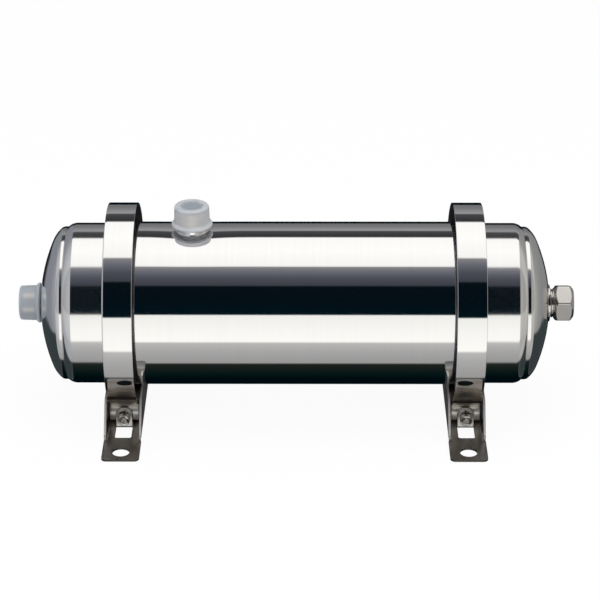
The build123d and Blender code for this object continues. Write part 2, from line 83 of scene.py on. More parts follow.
# %% Sections made of arcs and straight runs
def arc(centre, radius, start, end, steps):
    """Points at centre + radius (cos a, sin a), with the angle a going evenly from start to end."""
    a = np.radians(np.linspace(start, end, steps))
    return np.stack([centre[0] + radius * np.cos(a), centre[1] + radius * np.sin(a)], 1)


def rounded(corners, radii, steps=7):
    """A line through the corners, each replaced by an arc that touches both of its sides.

    An arc of radius r at a corner of half angle h starts r / tan(h) before the corner,
    and its centre lies r / sin(h) from it along the line that halves the angle.
    """
    p = np.asarray(corners, float)
    out = [p[:1]]
    for before, corner, after, r in zip(p[:-2], p[1:-1], p[2:], radii[1:-1]):
        if r <= 0:
            out.append(corner[None])
            continue
        u = (before - corner) / np.linalg.norm(before - corner)
        v = (after - corner) / np.linalg.norm(after - corner)
        half = math.acos(np.clip(u @ v, -1, 1)) / 2
        middle = (u + v) / np.linalg.norm(u + v)
        centre = corner + middle * r / math.sin(half)
        a = corner + u * r / math.tan(half) - centre
        b = corner + v * r / math.tan(half) - centre
        start = math.atan2(a[1], a[0])
        turn = (math.atan2(b[1], b[0]) - start + math.pi) % (2 * math.pi) - math.pi
        out.append(arc(centre, r, math.degrees(start), math.degrees(start + turn), steps))
    out.append(p[-1:])
    return np.concatenate(out)


def guarded(line, guard=0.12, longest=6.0):
    """The same line with its long straight runs split, and a point close to each of their ends.

    The extra points keep the smooth shading of a flat run flat right up to the bend.
    """
    a, b = line[:-1], line[1:]
    lengths = np.linalg.norm(b - a, axis=1)
    pieces = []
    for start, end, length in zip(a, b, lengths):
        shares = [0.0]
        if length > 4 * guard:
            count = max(1, int(np.ceil(length / longest)))
            inner = np.linspace(guard / length, 1 - guard / length, count + 1)
            shares = np.concatenate([[0.0], inner])
        shares = np.asarray(shares)[:, None]
        pieces.append(start + (end - start) * shares)
    pieces.append(line[-1:])
    return np.concatenate(pieces)


square_corner = rounded([(0, 0), (5, 0), (5, 5)], [0, 1, 0])
print("a corner eased by 1 mm has", len(square_corner) - 2, "points")


# %% [markdown]
# ## From arrays to meshes
# A surface here is a grid of points: one index runs along the section, the other goes
# round or along. Four neighbours make a face. The grid goes into Blender in one call, and
# points that fall together, as at a pole, are merged.

# %% Grid to mesh
SAME_PLACE = 2e-6
NO_LENGTH = 1e-7


def grid_faces(rows, columns, closed_rows, closed_columns):
    """Four indices a face, for the squares between neighbouring rows and columns."""
    i = np.arange(rows if closed_rows else rows - 1)
    j = np.arange(columns if closed_columns else columns - 1)
    i, j = np.meshgrid(i, j, indexing="ij")
    k, m = (i + 1) % rows, (j + 1) % columns
    corners = [i * columns + j, k * columns + j, k * columns + m, i * columns + m]
    return np.stack(corners, -1).reshape(-1, 4)


def smooth_object(name, mesh, sharp):
    """An object that shows the mesh smooth, but for the edges above an angle in degrees."""
    mesh.polygons.foreach_set("use_smooth", np.ones(len(mesh.polygons), bool))
    mesh.set_sharp_from_angle(angle=math.radians(sharp))
    made = bpy.data.objects.new(name, mesh)
    bpy.context.scene.collection.objects.link(made)
    print(name, len(mesh.polygons), "faces")
    return made


def to_object(name, points, faces, sharp):
    """A skin from points in millimetres and the four indices of each face, facing outwards."""
    mesh = bpy.data.meshes.new(name)
    mesh.from_pydata(np.asarray(points) * MM, [], faces.tolist())
    work = bmesh.new()
    work.from_mesh(mesh)
    bmesh.ops.remove_doubles(work, verts=work.verts, dist=SAME_PLACE)
    bmesh.ops.dissolve_degenerate(work, edges=work.edges, dist=NO_LENGTH)
    bmesh.ops.recalc_face_normals(work, faces=work.faces)
    work.to_mesh(mesh)
    work.free()
    return smooth_object(name, mesh, sharp)


# %% Round surfaces
def angles(steps):
    """Even angles once round, in radians."""
    return np.linspace(0, 2 * np.pi, steps, endpoint=False)


def rings(name, along, radius, start, axis, closed=True, sharp=40.0):
    """Rings about an axis through the start point, with a radius for each place and angle.

    Each point goes to start + along * axis + radius * (cos a * side + sin a * up), for
    the angle a round the axis. The radius is a table, with a row for each place, and the
    place along is one number a row, or a table of the same size.
    """
    axis = np.asarray(axis, float)
    side = np.array([0.0, -1.0, 0.0])
    up = np.cross(side, axis)
    a = angles(radius.shape[1])
    around = np.cos(a)[:, None] * side + np.sin(a)[:, None] * up
    along = np.broadcast_to(along[:, None] if along.ndim == 1 else along, radius.shape)
    points = np.asarray(start) + along[..., None] * axis + radius[..., None] * around
    faces = grid_faces(*radius.shape, closed, True)
    return to_object(name, points.reshape(-1, 3), faces, sharp)


def turned(name, section, start, axis, steps=256, closed=True, sharp=40.0):
    """A section of (distance along, radius) turned about an axis through the start point."""
    radius = np.repeat(section[:, 1:], steps, axis=1)
    return rings(name, section[:, 0], radius, start, axis, closed, sharp)


# %% [markdown]
# ## Reading and marking meshes
# A finish can follow a number that is kept at each point or face of a mesh, which Blender
# calls an attribute. To work such numbers out, the places of all the points or faces are
# read from the mesh in one call.

# %% Reading and marking meshes
def places(items, key="co"):
    """Where the points of a mesh are, in millimetres, or its faces with the key "center"."""
    flat = np.zeros(3 * len(items))
    items.foreach_get(key, flat)
    return flat.reshape(-1, 3) / MM


def mark(made, name, domain, values):
    """Keeps one number for each point or face of a piece, for its finish to read."""
    layer = made.data.attributes.new(name, "FLOAT", domain)
    layer.data.foreach_set("value", values.astype(np.float32))


# %% [markdown]
# ## Colours and nodes
# A colour is written as on a paint card, in sRGB hex. Blender's shaders work in linear
# light, so one function turns the one to the other. One more function adds a node with
# its settings and links, and all the finishes are made with it. A pattern's scale is how
# often it repeats in a metre: at 2600, about each 0.4 mm.

# %% Colour and node helpers
def linear(hex_colour):
    """Linear red, green, blue and 1 from an sRGB hex colour.

    The curve of sRGB is a straight line for the darkest shades, and then a power of 2.4.
    """
    s = np.array([int(hex_colour[i:i + 2], 16) for i in (1, 3, 5)]) / 255
    low, high = s / 12.92, ((s + 0.055) / 1.055) ** 2.4
    return (*np.where(s <= 0.04045, low, high).tolist(), 1.0)


def add(tree, kind, settings=None, stops=(), **inputs):
    """Adds a node and gives its outputs.

    settings are the node's own properties. An input is a value, or a socket to link, and
    i0, i1 and so on name it by number. stops are a colour ramp's places and hex colours.
    """
    node = tree.nodes.new(kind)
    for key, value in (settings or {}).items():
        setattr(node, key, value)
    if stops:
        keys = node.color_ramp.elements
        while len(keys) < len(stops):
            keys.new(0.5)
        for key, (position, colour) in zip(keys, sorted(stops)):
            key.position = position
            key.color = linear(colour)
    for key, value in inputs.items():
        place = int(key[1:]) if key[0] == "i" and key[1:].isdigit() else key.replace("_", " ")
        if isinstance(value, bpy.types.NodeSocket):
            tree.links.new(value, node.inputs[place])
        else:
            node.inputs[place].default_value = value
    return node.outputs


def finish_named(name):
    """An empty material, and the object's own coordinates for its patterns."""
    made = bpy.data.materials.new(name)
    made.use_nodes = True
    made.node_tree.nodes.clear()
    place = add(made.node_tree, "ShaderNodeTexCoord")["Object"]
    return made, made.node_tree, place


EASED = {"interpolation_type": "SMOOTHSTEP"}
MIXED = {"data_type": "RGBA"}
PRODUCT = {"operation": "MULTIPLY"}
SUM = {"operation": "ADD"}
SCALED_SUM = {"operation": "MULTIPLY_ADD"}
SIZE_ONLY = {"operation": "ABSOLUTE"}
print("half grey in linear light:", round(linear("#808080")[0], 3))

# %% [markdown]
# ## Mirror-polished stainless steel
# The housing and the hoops are 304 stainless steel, buffed to a mirror. A buffed tube
# isn't a perfect mirror: the wheel leaves very fine lines round it and a slow waviness of
# a few hundredths of a millimetre, which bends the edges of what it reflects. The lines
# are drawn about 0.4 mm apart, coarser than real ones, so that they show. The drawn cups
# are harder to buff than the rolled tube, so their mirror is a little duller.

# %% Mirror-polished stainless steel
MIRROR_ROUGHNESS = (0.04, 0.06)
DRAWN_ROUGHNESS = (0.08, 0.12)


def polished(tree, place, roughness=MIRROR_ROUGHNESS):
    """The tint, roughness and waviness of a buffed sheet. The buffing lines run round X."""
    waves = add(tree, "ShaderNodeTexNoise", Vector=place, Scale=28.0, Detail=1.0)["Fac"]
    across = add(tree, "ShaderNodeMapping", Vector=place, Scale=(2600.0, 60.0, 60.0))[0]
    lines = add(tree, "ShaderNodeTexNoise", Vector=across, Scale=1.0, Detail=2.0)["Fac"]
    low, high = roughness
    rough = add(tree, "ShaderNodeMapRange", Value=lines, To_Min=low, To_Max=high)[0]
    wide = add(tree, "ShaderNodeMapping", Vector=place, Scale=(420.0, 9.0, 9.0))[0]
    streaks = add(tree, "ShaderNodeTexNoise", Vector=wide, Scale=1.0, Detail=3.0)["Fac"]
    shades = [(0.3, "#EBEAEA"), (0.7, "#ECECEB")]
    tint = add(tree, "ShaderNodeValToRGB", stops=shades, Fac=streaks)[0]
    bent = add(tree, "ShaderNodeBump", Height=waves, Distance=0.03 * MM, Strength=0.5)[0]
    return tint, rough, bent


def mirror_polished_stainless(name, roughness):
    """Stainless steel buffed to a mirror: faint buffing lines and a slow waviness."""
    made, tree, place = finish_named(name)
    tint, rough, bent = polished(tree, place, roughness)
    skin = add(
        tree, "ShaderNodeBsdfPrincipled", Base_Color=tint, Metallic=1.0, Roughness=rough,
        Normal=bent,
    )[0]
    add(tree, "ShaderNodeOutputMaterial", Surface=skin)
    return made


# %% [markdown]
# ## Buffed strip
# The hoops are bent from strip that was buffed on one side. The inside stays dull, and the
# hands and tools that fold the ends leave them rougher. Bands of the strip are painted
# darker and lighter by height, as painted shade and painted light, and the cut ends are
# painted dark as a painted shadow. Where each begins is known from the height above the
# floor, or from the distance to the housing's axis.

# %% Buffed strip
# The height zones' tints are painted shade below 54 mm, lifted a little below 44 mm, and painted
# light below 22 mm; their added roughness is wear from folding.
STRIP_PAINTED_LIGHT_AND_WEAR_ZONES = [
    ("height", 54.0, 51.0, 0.7, "#8E877D", 0.0),
    ("height", 44.0, 39.0, 0.8, "#C4BCB0", 0.24),
    ("height", 22.0, 16.0, 1.0, "#FAF7F0", 0.36),
    ("distance", 70.0, 69.7, 1.0, "#8E8E92", 0.3),
]
CUT_ROUGHNESS = 0.3


def polished_band():
    """Buffed strip: a mirror outside, dull on its inside and where it was folded by hand,
    with painted shade and painted light in bands by height.

    Each zone goes from one height or distance to another, and gives the share of its
    tint, the tint and the roughness that is added. The height zones' tints are painted
    shade below 54 mm, lifted a little below 44 mm, and painted light below 22 mm; the
    distance zone is the dull inside. A later zone lies over the ones before, and the cut
    ends, which an attribute marks, are rough and painted dark as a painted shadow.
    """
    made, tree, place = finish_named("buffed stainless strip")
    tint, rough, bent = polished(tree, place)
    height = add(tree, "ShaderNodeSeparateXYZ", Vector=place)[2]
    lowered = (0.0, 0.0, -AXIS_HEIGHT * MM)
    section = add(
        tree, "ShaderNodeMapping", Vector=place, Scale=(0.0, 1.0, 1.0), Location=lowered
    )[0]
    distance = add(tree, "ShaderNodeVectorMath", {"operation": "LENGTH"}, i0=section)["Value"]
    dull = 0.0
    for measure, start, end, share, colour, extra in STRIP_PAINTED_LIGHT_AND_WEAR_ZONES:
        where = height if measure == "height" else distance
        zone = {"Value": where, "From_Min": start * MM, "From_Max": end * MM}
        cover = add(tree, "ShaderNodeMapRange", EASED, **zone, To_Max=share)[0]
        tint = add(tree, "ShaderNodeMix", MIXED, i0=cover, i6=tint, i7=linear(colour))[2]
        dull = add(tree, "ShaderNodeMapRange", EASED, **zone, To_Min=dull, To_Max=extra)[0]
    # Painted shadow: the cut ends are darkened; their added roughness is real.
    cut = add(tree, "ShaderNodeAttribute", {"attribute_name": "cut"})["Fac"]
    tint = add(tree, "ShaderNodeMix", MIXED, i0=cut, i6=tint, i7=linear("#3A3633"))[2]
    dull = add(tree, "ShaderNodeMath", SCALED_SUM, i0=cut, i1=CUT_ROUGHNESS, i2=dull)[0]
    worn = add(tree, "ShaderNodeMath", SUM, i0=rough, i1=dull)[0]
    skin = add(
        tree, "ShaderNodeBsdfPrincipled", Base_Color=tint, Metallic=1.0, Roughness=worn,
        Normal=bent,
    )[0]
    add(tree, "ShaderNodeOutputMaterial", Surface=skin)
    return made


# %% [markdown]
# ## Satin stainless sheet
# The brackets are cut and folded from sheet as the mill rolls it, so its grain scatters
# light along one direction a little. The sheared edges of the feet are rough, and are
# painted dark as painted shade at the floor. The walls' edges are cut by laser, which
# leaves them matt, and they are painted bright as a painted highlight. The walls' faces
# that look sideways between them are painted dark as painted shade. Where each of these
# is follows from the height, the distance from the hoop's plane and the way the surface faces.

# %% Edges and insides of the sheet
WALL_INSIDE = 11.5
BEND_TOP = 5.0


def shaded_sheared_edges(tree, height, upright):
    """Where the surface stands upright within the sheet's thickness, as at the feet's edges: the
    mask of their painted shade.
    """
    thin_shade = add(
        tree, "ShaderNodeMapRange", EASED, Value=height, From_Min=(SHEET + 0.2) * MM,
        From_Max=SHEET * MM,
    )[0]
    return add(
        tree, "ShaderNodeMapRange", EASED, Value=upright, From_Min=0.55, From_Max=0.3,
        To_Max=thin_shade,
    )[0]


def highlit_laser_cut_edges(tree, height, across, facing_side):
    """Where the surface is above the bend, in the wall's thickness, and doesn't face sideways: the
    mask of the walls' painted highlight.
    """
    in_wall = add(
        tree, "ShaderNodeMapRange", EASED, Value=across, From_Min=(WALL_INSIDE - 0.3) * MM,
        From_Max=(WALL_INSIDE - 0.1) * MM,
    )[0]
    above_bend = add(
        tree, "ShaderNodeMapRange", EASED, Value=height, From_Min=(BEND_TOP - 0.5) * MM,
        From_Max=(BEND_TOP + 0.5) * MM, To_Max=in_wall,
    )[0]
    return add(
        tree, "ShaderNodeMapRange", EASED, Value=facing_side, From_Min=0.6, From_Max=0.4,
        To_Max=above_bend,
    )[0]


def shaded_inside_walls(tree, across, facing_side):
    """Where the surface faces sideways between the walls, at most 0.6: the mask of the painted
    shade there.
    """
    between = add(
        tree, "ShaderNodeMapRange", EASED, Value=across, From_Min=(WALL_INSIDE + 0.4) * MM,
        From_Max=(WALL_INSIDE + 0.2) * MM, To_Max=0.6,
    )[0]
    return add(
        tree, "ShaderNodeMapRange", EASED, Value=facing_side, From_Min=0.8, From_Max=0.9,
        To_Max=between,
    )[0]


# %% Satin stainless sheet
def satin_stainless():
    """Stainless sheet with a fine rolled grain, painted shade on the sheared feet and between the
    walls, and a painted highlight on the laser-cut wall edges.
    """
    made, tree, place = finish_named("satin stainless sheet")
    along = add(tree, "ShaderNodeMapping", Vector=place, Scale=(1800.0, 90.0, 1800.0))[0]
    grain = add(tree, "ShaderNodeTexNoise", Vector=along, Scale=1.0, Detail=3.0)["Fac"]
    cloud = add(tree, "ShaderNodeTexNoise", Vector=place, Scale=60.0, Detail=3.0)["Fac"]
    shades = [(0.3, "#C9C5C0"), (0.7, "#D6D2CD")]
    tint = add(tree, "ShaderNodeValToRGB", stops=shades, Fac=cloud)[0]
    rough = add(tree, "ShaderNodeMapRange", Value=cloud, To_Min=0.24, To_Max=0.34)[0]
    rolled = add(tree, "ShaderNodeBump", Height=grain, Distance=0.006 * MM, Strength=0.6)[0]

    facing = add(tree, "ShaderNodeNewGeometry")["Normal"]
    facing_x, _, upright = add(tree, "ShaderNodeSeparateXYZ", Vector=facing)
    facing_side = add(tree, "ShaderNodeMath", SIZE_ONLY, i0=facing_x)[0]
    x, _, height = add(tree, "ShaderNodeSeparateXYZ", Vector=place)
    distance_out = add(tree, "ShaderNodeMath", SIZE_ONLY, i0=x)[0]
    from_hoop = add(tree, "ShaderNodeMath", SUM, i0=distance_out, i1=-HOOP_PLACE * MM)[0]
    across = add(tree, "ShaderNodeMath", SIZE_ONLY, i0=from_hoop)[0]

    edge = shaded_sheared_edges(tree, height, upright)
    # Painted shade: the feet's sheared edges are darkened; their added roughness is real.
    tint = add(tree, "ShaderNodeMix", MIXED, i0=edge, i6=tint, i7=linear("#5A5754"))[2]
    rough = add(tree, "ShaderNodeMath", SCALED_SUM, i0=edge, i1=0.2, i2=rough)[0]
    edge = highlit_laser_cut_edges(tree, height, across, facing_side)
    # Painted highlight: the walls' laser-cut edges are made bright; their added roughness is real.
    tint = add(tree, "ShaderNodeMix", MIXED, i0=edge, i6=tint, i7=linear("#F6F4F1"))[2]
    rough = add(tree, "ShaderNodeMath", SCALED_SUM, i0=edge, i1=0.3, i2=rough)[0]
    inner = shaded_inside_walls(tree, across, facing_side)
    # Painted shade: the walls' faces that look sideways between them are darkened.
    tint = add(tree, "ShaderNodeMix", MIXED, i0=inner, i6=tint, i7=linear("#3C3A38"))[2]
    skin = add(
        tree, "ShaderNodeBsdfPrincipled", Base_Color=tint, Metallic=1.0, Roughness=rough,
        Normal=rolled,
    )[0]
    add(tree, "ShaderNodeOutputMaterial", Surface=skin)
    return made


# %% [markdown]
# ## Turned stainless steel
# The plug, the screws and the trunnions come from the lathe. The tool's feed marks are
# finer than a pixel, so they only widen the reflections.

# %% Turned stainless steel
def turned_stainless():
    """Stainless bar as it leaves the lathe, with feed marks that widen its reflections."""
    made, tree, place = finish_named("turned stainless steel")
    cloud = add(tree, "ShaderNodeTexNoise", Vector=place, Scale=140.0, Detail=3.0)["Fac"]
    marks = add(tree, "ShaderNodeTexNoise", Vector=place, Scale=2200.0, Detail=2.0)["Fac"]
    shades = [(0.3, "#CBC8C4"), (0.7, "#D3D1CD")]
    tint = add(tree, "ShaderNodeValToRGB", stops=shades, Fac=cloud)[0]
    rough = add(tree, "ShaderNodeMapRange", Value=cloud, To_Min=0.1, To_Max=0.15)[0]
    cut = add(tree, "ShaderNodeBump", Height=marks, Distance=0.004 * MM, Strength=0.05)[0]
    skin = add(
        tree, "ShaderNodeBsdfPrincipled", Base_Color=tint, Metallic=1.0, Roughness=rough,
        Normal=cut,
    )[0]
    add(tree, "ShaderNodeOutputMaterial", Surface=skin)
    return made


# %% [markdown]
# ## Milky polyethylene
# The dust caps are blown from polyethylene without pigment: light goes a few millimetres
# into it, so it looks milky and its edges stay soft. Over the top, most of all in the dish,
# it is painted greyer as painted shade, and where the bright neck lies close behind it,
# painted a little warmer as a painted highlight. Each cap's own attributes tell where that is.

# %% Milky polyethylene
def milky_polyethylene():
    """Unpigmented polyethylene: light scatters inside it, its skin has a dull shine, and two
    attributes give it painted shade and a painted highlight.
    """
    made, tree, place = finish_named("milky polyethylene")
    cloud = add(tree, "ShaderNodeTexNoise", Vector=place, Scale=180.0, Detail=2.0)["Fac"]
    shades = [(0.3, "#BFC1C5"), (0.7, "#C9CBCE")]
    thick = add(tree, "ShaderNodeValToRGB", stops=shades, Fac=cloud)[0]
    skin_dents = add(tree, "ShaderNodeBump", Height=cloud, Distance=0.04 * MM, Strength=0.4)[0]
    thin_shade = add(tree, "ShaderNodeAttribute", {"attribute_name": "thin_shade"})["Fac"]
    # Painted shade: greyer over the top, in the dish and over the inlet cap's body.
    tint = add(tree, "ShaderNodeMix", MIXED, i0=thin_shade, i6=thick, i7=linear("#9199A2"))[2]
    steel = add(tree, "ShaderNodeAttribute", {"attribute_name": "steel"})["Fac"]
    # Painted highlight: warmer where the neck's bright lines would show through the plastic.
    tint = add(tree, "ShaderNodeMix", MIXED, i0=steel, i6=tint, i7=linear("#E4DDD3"))[2]
    skin = add(
        tree, "ShaderNodeBsdfPrincipled", Base_Color=tint, Roughness=0.38, IOR=1.51,
        Subsurface_Weight=0.9, Subsurface_Radius=(1.0, 1.0, 1.1), Subsurface_Scale=5 * MM,
        Normal=skin_dents,
    )[0]
    add(tree, "ShaderNodeOutputMaterial", Surface=skin)
    return made


# %% [markdown]
# ## Rubber, moulded plastic, resin and fibres
# These are inside, and show only when a piece is taken out or looked at by itself. The
# first three are cast or moulded, so one finish serves them, with its colours, shine and
# grain as settings. The fibres are a pattern of cells drawn out along the housing, with
# painted shade between them.

# %% Rubber, plastics and fibres
def plain_plastic(name, low, high, roughness, pattern_scale, ior):
    """A moulded or cast finish whose colour drifts between two shades over a pattern's size."""
    made, tree, place = finish_named(name)
    cloud = add(tree, "ShaderNodeTexNoise", Vector=place, Scale=pattern_scale, Detail=3.0)["Fac"]
    tint = add(tree, "ShaderNodeValToRGB", stops=[(0.3, low), (0.7, high)], Fac=cloud)[0]
    dents = add(tree, "ShaderNodeBump", Height=cloud, Distance=0.03 * MM, Strength=0.4)[0]
    skin = add(
        tree, "ShaderNodeBsdfPrincipled", Base_Color=tint, Roughness=roughness, IOR=ior,
        Normal=dents,
    )[0]
    add(tree, "ShaderNodeOutputMaterial", Surface=skin)
    return made


def hollow_fibres():
    """Bundled membrane fibres, 1.4 mm thick, drawn as ridges that run along X, darker between them
    as painted shade.
    """
    made, tree, place = finish_named("hollow membrane fibres")
    drawn = add(tree, "ShaderNodeMapping", Vector=place, Scale=(4.0, 720.0, 720.0))[0]
    strands = add(tree, "ShaderNodeTexVoronoi", Vector=drawn, Scale=1.0)["Distance"]
    # Painted shade: each cell is lighter at its middle and darker towards the gaps between fibres.
    shades = [(0.0, "#F2F0EA"), (0.8, "#B9B4A6")]
    tint = add(tree, "ShaderNodeValToRGB", stops=shades, Fac=strands)[0]
    ridges = add(
        tree, "ShaderNodeBump", {"invert": True}, Height=strands, Distance=0.6 * MM,
        Strength=0.8,
    )[0]
    skin = add(
        tree, "ShaderNodeBsdfPrincipled", Base_Color=tint, Roughness=0.6, Normal=ridges
    )[0]
    add(tree, "ShaderNodeOutputMaterial", Surface=skin)
    return made


# %% All the finishes
MIRROR = mirror_polished_stainless("mirror-polished stainless steel", MIRROR_ROUGHNESS)
DRAWN = mirror_polished_stainless("drawn and buffed stainless steel", DRAWN_ROUGHNESS)
BAND = polished_band()
SATIN = satin_stainless()
TURNED = turned_stainless()
MILKY = milky_polyethylene()
RUBBER = plain_plastic("black nitrile rubber", "#0C0C0D", "#161617", 0.55, 400.0, 1.52)
WHITE = plain_plastic("white moulded ABS", "#DADCDD", "#E4E6E6", 0.4, 150.0, 1.53)
RESIN = plain_plastic("cast amber resin", "#A88F5C", "#B99E68", 0.25, 60.0, 1.55)
FIBRES = hollow_fibres()
print("finishes:", len(bpy.data.materials))


# %% [markdown]
# ## Dressing a piece
# A new surface takes the place of its solid, moves with the solid's body and gets its
# finish. A solid that is kept gets only its finish.

# %% Placing pieces
BODY_NODES = frame["record"]["behaviour"]["bodies"]


def finished(made, finish):
    """Gives a piece its one finish."""
    made.data.materials.clear()
    made.data.materials.append(finish)


def stands_for(made, node, finish):
    """A new surface that shows in place of a solid, and moves with its body."""
    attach(made, next(body for body, nodes in BODY_NODES.items() if node in nodes))
    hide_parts(node)
    finished(made, finish)


print("bodies that move apart from the housing:", len(BODY_NODES) - 1)

# %% [markdown]
# ## Housing tube
# The tube is rolled sheet, polished after its seam is ground flush, so the seam doesn't
# show. Welding the outlet's neck draws the sheet in a little round it, and that shallow
# dent bends the reflections near the cap. So the radius is a formula of place and angle.

# %% Housing tube
ON_AXIS = (0.0, 0.0, AXIS_HEIGHT)
ALONG = (1.0, 0.0, 0.0)
TUBE_EASE = 0.2
WELD_DENT = 0.7
WELD_SPREAD = 19.0


def housing_tube(steps=256):
    """A thin closed oblong turned about the axis, less the dent round the outlet.

    At a distance d over the sheet from the neck's middle, the sheet lies
    dent * exp(-(d / spread)^2) lower. The neck stands at the top, a quarter turn up.
    """
    corners = [
        (0, TUBE_RADIUS), (TUBE_HALF, TUBE_RADIUS), (TUBE_HALF, CUP_RADIUS),
        (-TUBE_HALF, CUP_RADIUS), (-TUBE_HALF, TUBE_RADIUS), (0, TUBE_RADIUS),
    ]
    eases = [0, TUBE_EASE, 0, 0, TUBE_EASE, 0]
    section = guarded(rounded(corners, eases), longest=2.0)[:-1]
    across = TUBE_RADIUS * (angles(steps) - np.pi / 2)
    distance = np.hypot(section[:, :1] - OUTLET_PLACE, across[None, :])
    radius = section[:, 1:] - WELD_DENT * np.exp(-((distance / WELD_SPREAD) ** 2))
    return rings("tube_surface", section[:, 0], radius, ON_AXIS, ALONG)


stands_for(housing_tube(), "housing_tube", MIRROR)

# %% [markdown]
# ## End cups
# Each end is a cup drawn from sheet. Its skirt laps inside the tube. Then come a rolled
# corner, a fine groove where the tool stopped, a rounded bead and the shallow dome. The
# arcs meet with common tangents, so each one starts where the last one ends.

# %% End cups
CUP_STRAIGHT = 152.3
CUP_LAP = 14.0
CORNER_RADIUS, CORNER_TURN = 9.0, 44.0
GROOVE_WIDTH = 0.9
GROOVE_FLOOR = (0.25, -0.4)
CROWN_START = (0.5, -0.08)
CROWN_RADIUS, CROWN_TURN = 8.0, 8.0
FLANK_RADIUS = 4.0
FOOT_RADIUS, FOOT_TURN = 7.0, 44.4
SHOULDER_RADIUS, SHOULDER_TURN = 20.0, 66.2
BOSS_RADIUS = 13.0
CUP_STEPS = 230


def tangent_arc(start, radius, turn_from, turn_to, steps):
    """An arc that starts at a point, and whose tangent falls from one angle to another."""
    a = np.radians([turn_from, turn_to])
    centre = np.asarray(start) - radius * np.array([math.sin(a[0]), math.cos(a[0])])
    t = np.radians(np.linspace(turn_from, turn_to, steps))
    return centre + radius * np.stack([np.sin(t), np.cos(t)], 1)


def cup_side(inset, hole):
    """One side of the cup's wall, moved inwards by the inset, from the rim to the hole.

    The dome is part of a ball whose middle lies on the axis, so its radius is the wall's
    distance from the axis there / cos(the shoulder's last angle). The groove and the
    bead's crown are on the outside only.
    """
    side = CUP_RADIUS - inset
    rim = np.array([[TUBE_HALF - CUP_LAP, side]])
    corner = tangent_arc((CUP_STRAIGHT, side), CORNER_RADIUS - inset, 0, CORNER_TURN, 20)
    foot_start = corner[-1] + [GROOVE_WIDTH, 0.0]
    foot = tangent_arc(foot_start, FOOT_RADIUS - inset, 0, FOOT_TURN, 20)
    shoulder = tangent_arc(foot[-1], SHOULDER_RADIUS - inset, FOOT_TURN, SHOULDER_TURN, 14)
    ball = shoulder[-1][1] / math.cos(math.radians(SHOULDER_TURN))
    last = 90.0 - math.degrees(math.asin(hole / ball))
    dome = tangent_arc(shoulder[-1], ball, SHOULDER_TURN, last, 40)
    if inset == 0:
        crown_start = corner[-1] + CROWN_START
        crown = tangent_arc(crown_start, CROWN_RADIUS, -CROWN_TURN, CROWN_TURN, 12)
        flank = tangent_arc(crown[-1], FLANK_RADIUS, CROWN_TURN, FOOT_TURN, 12)
        foot = np.concatenate([corner[-1:] + GROOVE_FLOOR, crown, flank[1:]])
    return np.concatenate([rim, corner, foot, shoulder[(inset > 0):], dome[1:]])


def end_cup(name, side, hole):
    """A cup turned about the housing's axis, at the +X or the -X end."""
    outer, inner = cup_side(0.0, hole), cup_side(CUP_WALL, hole)
    section = guarded(np.concatenate([outer, inner[::-1], outer[:1]]))[:-1]
    return turned(name, section, ON_AXIS, (side, 0.0, 0.0), steps=CUP_STEPS, sharp=30.0)


left_cup = end_cup("left_cup_surface", -1.0, NECK_RADIUS)
right_cup = end_cup("right_cup_surface", 1.0, BOSS_RADIUS)
stands_for(left_cup, "left_end_cap", DRAWN)
stands_for(right_cup, "right_end_cap", DRAWN)

# %% [markdown]
# ## Hoops
# A hoop is one strip. It goes round the housing, wraps a round bar at each end and comes
# back on itself, so the cut end of its tail shows on the outside. The middle of the strip
# follows one smooth path of arcs, and the strip's section is carried along it.

# %% Hoop path
STRIP = 1.2
HOOP_WIDTH = 20.2
BAR_RADIUS = 5.8
SCREW_HEIGHT = 8.8
SLOT_RADIUS = 5.9
CREASE = 0.4
LOOP_TURN = 68.936
LOOP_REACH = (AXIS_HEIGHT - SCREW_HEIGHT) / math.sin(math.radians(LOOP_TURN))
HOOP_RADIUS = LOOP_REACH - BAR_RADIUS
print("hoop across:", round(2 * HOOP_RADIUS, 1), "mm")


def toward(radius, turn):
    """A point of the hoop's plane at a radius, turned below the horizontal at the front."""
    return -radius * np.array([math.cos(math.radians(turn)), math.sin(math.radians(turn))])


def half_hoop(tail_turn):
    """The path of the strip's middle at the front, from the tail's end to the top.

    It is made of four arcs that touch: the tail outside the hoop, the reversed crease,
    the wrap round the bar and the hoop itself. Angles are counted from +Y.
    """
    centre = toward(LOOP_REACH, LOOP_TURN)
    reach = HOOP_RADIUS + STRIP + CREASE
    span = BAR_RADIUS + STRIP + CREASE
    back = math.degrees(math.acos((reach**2 + LOOP_REACH**2 - span**2) / (2 * reach * LOOP_REACH)))
    crease_turn = LOOP_TURN - back
    crease = toward(reach, crease_turn)
    facing = math.degrees(math.atan2(*(crease - centre)[::-1])) % 360
    tail = arc((0, 0), HOOP_RADIUS + STRIP / 2, 180 + LOOP_TURN - tail_turn, 180 + crease_turn, 40)
    bend = arc(crease, CREASE + STRIP / 2, crease_turn, facing - 180, 18)
    wrap = arc(centre, BAR_RADIUS + STRIP / 2, facing - 360, LOOP_TURN, 230)
    ring = arc((0, 0), HOOP_RADIUS - STRIP / 2, 180 + LOOP_TURN, 90, 190)
    return np.concatenate([tail, bend[1:], wrap[1:], ring[1:]])


# %% [markdown]
# ## Strip carried along the path
# The sheared sides of the strip are eased, and a slot for the screw opens it where it
# wraps the bar. Both are part of one grid: a half of the strip goes from the slot's edge
# to the strip's side, and its mirror image makes the other half.

# %% Hoop surface
HOOP_EASE = 0.28
EASE_STEPS = 5
FACE_STEPS = 7
SLOT_FROM_AXIS = 60.0


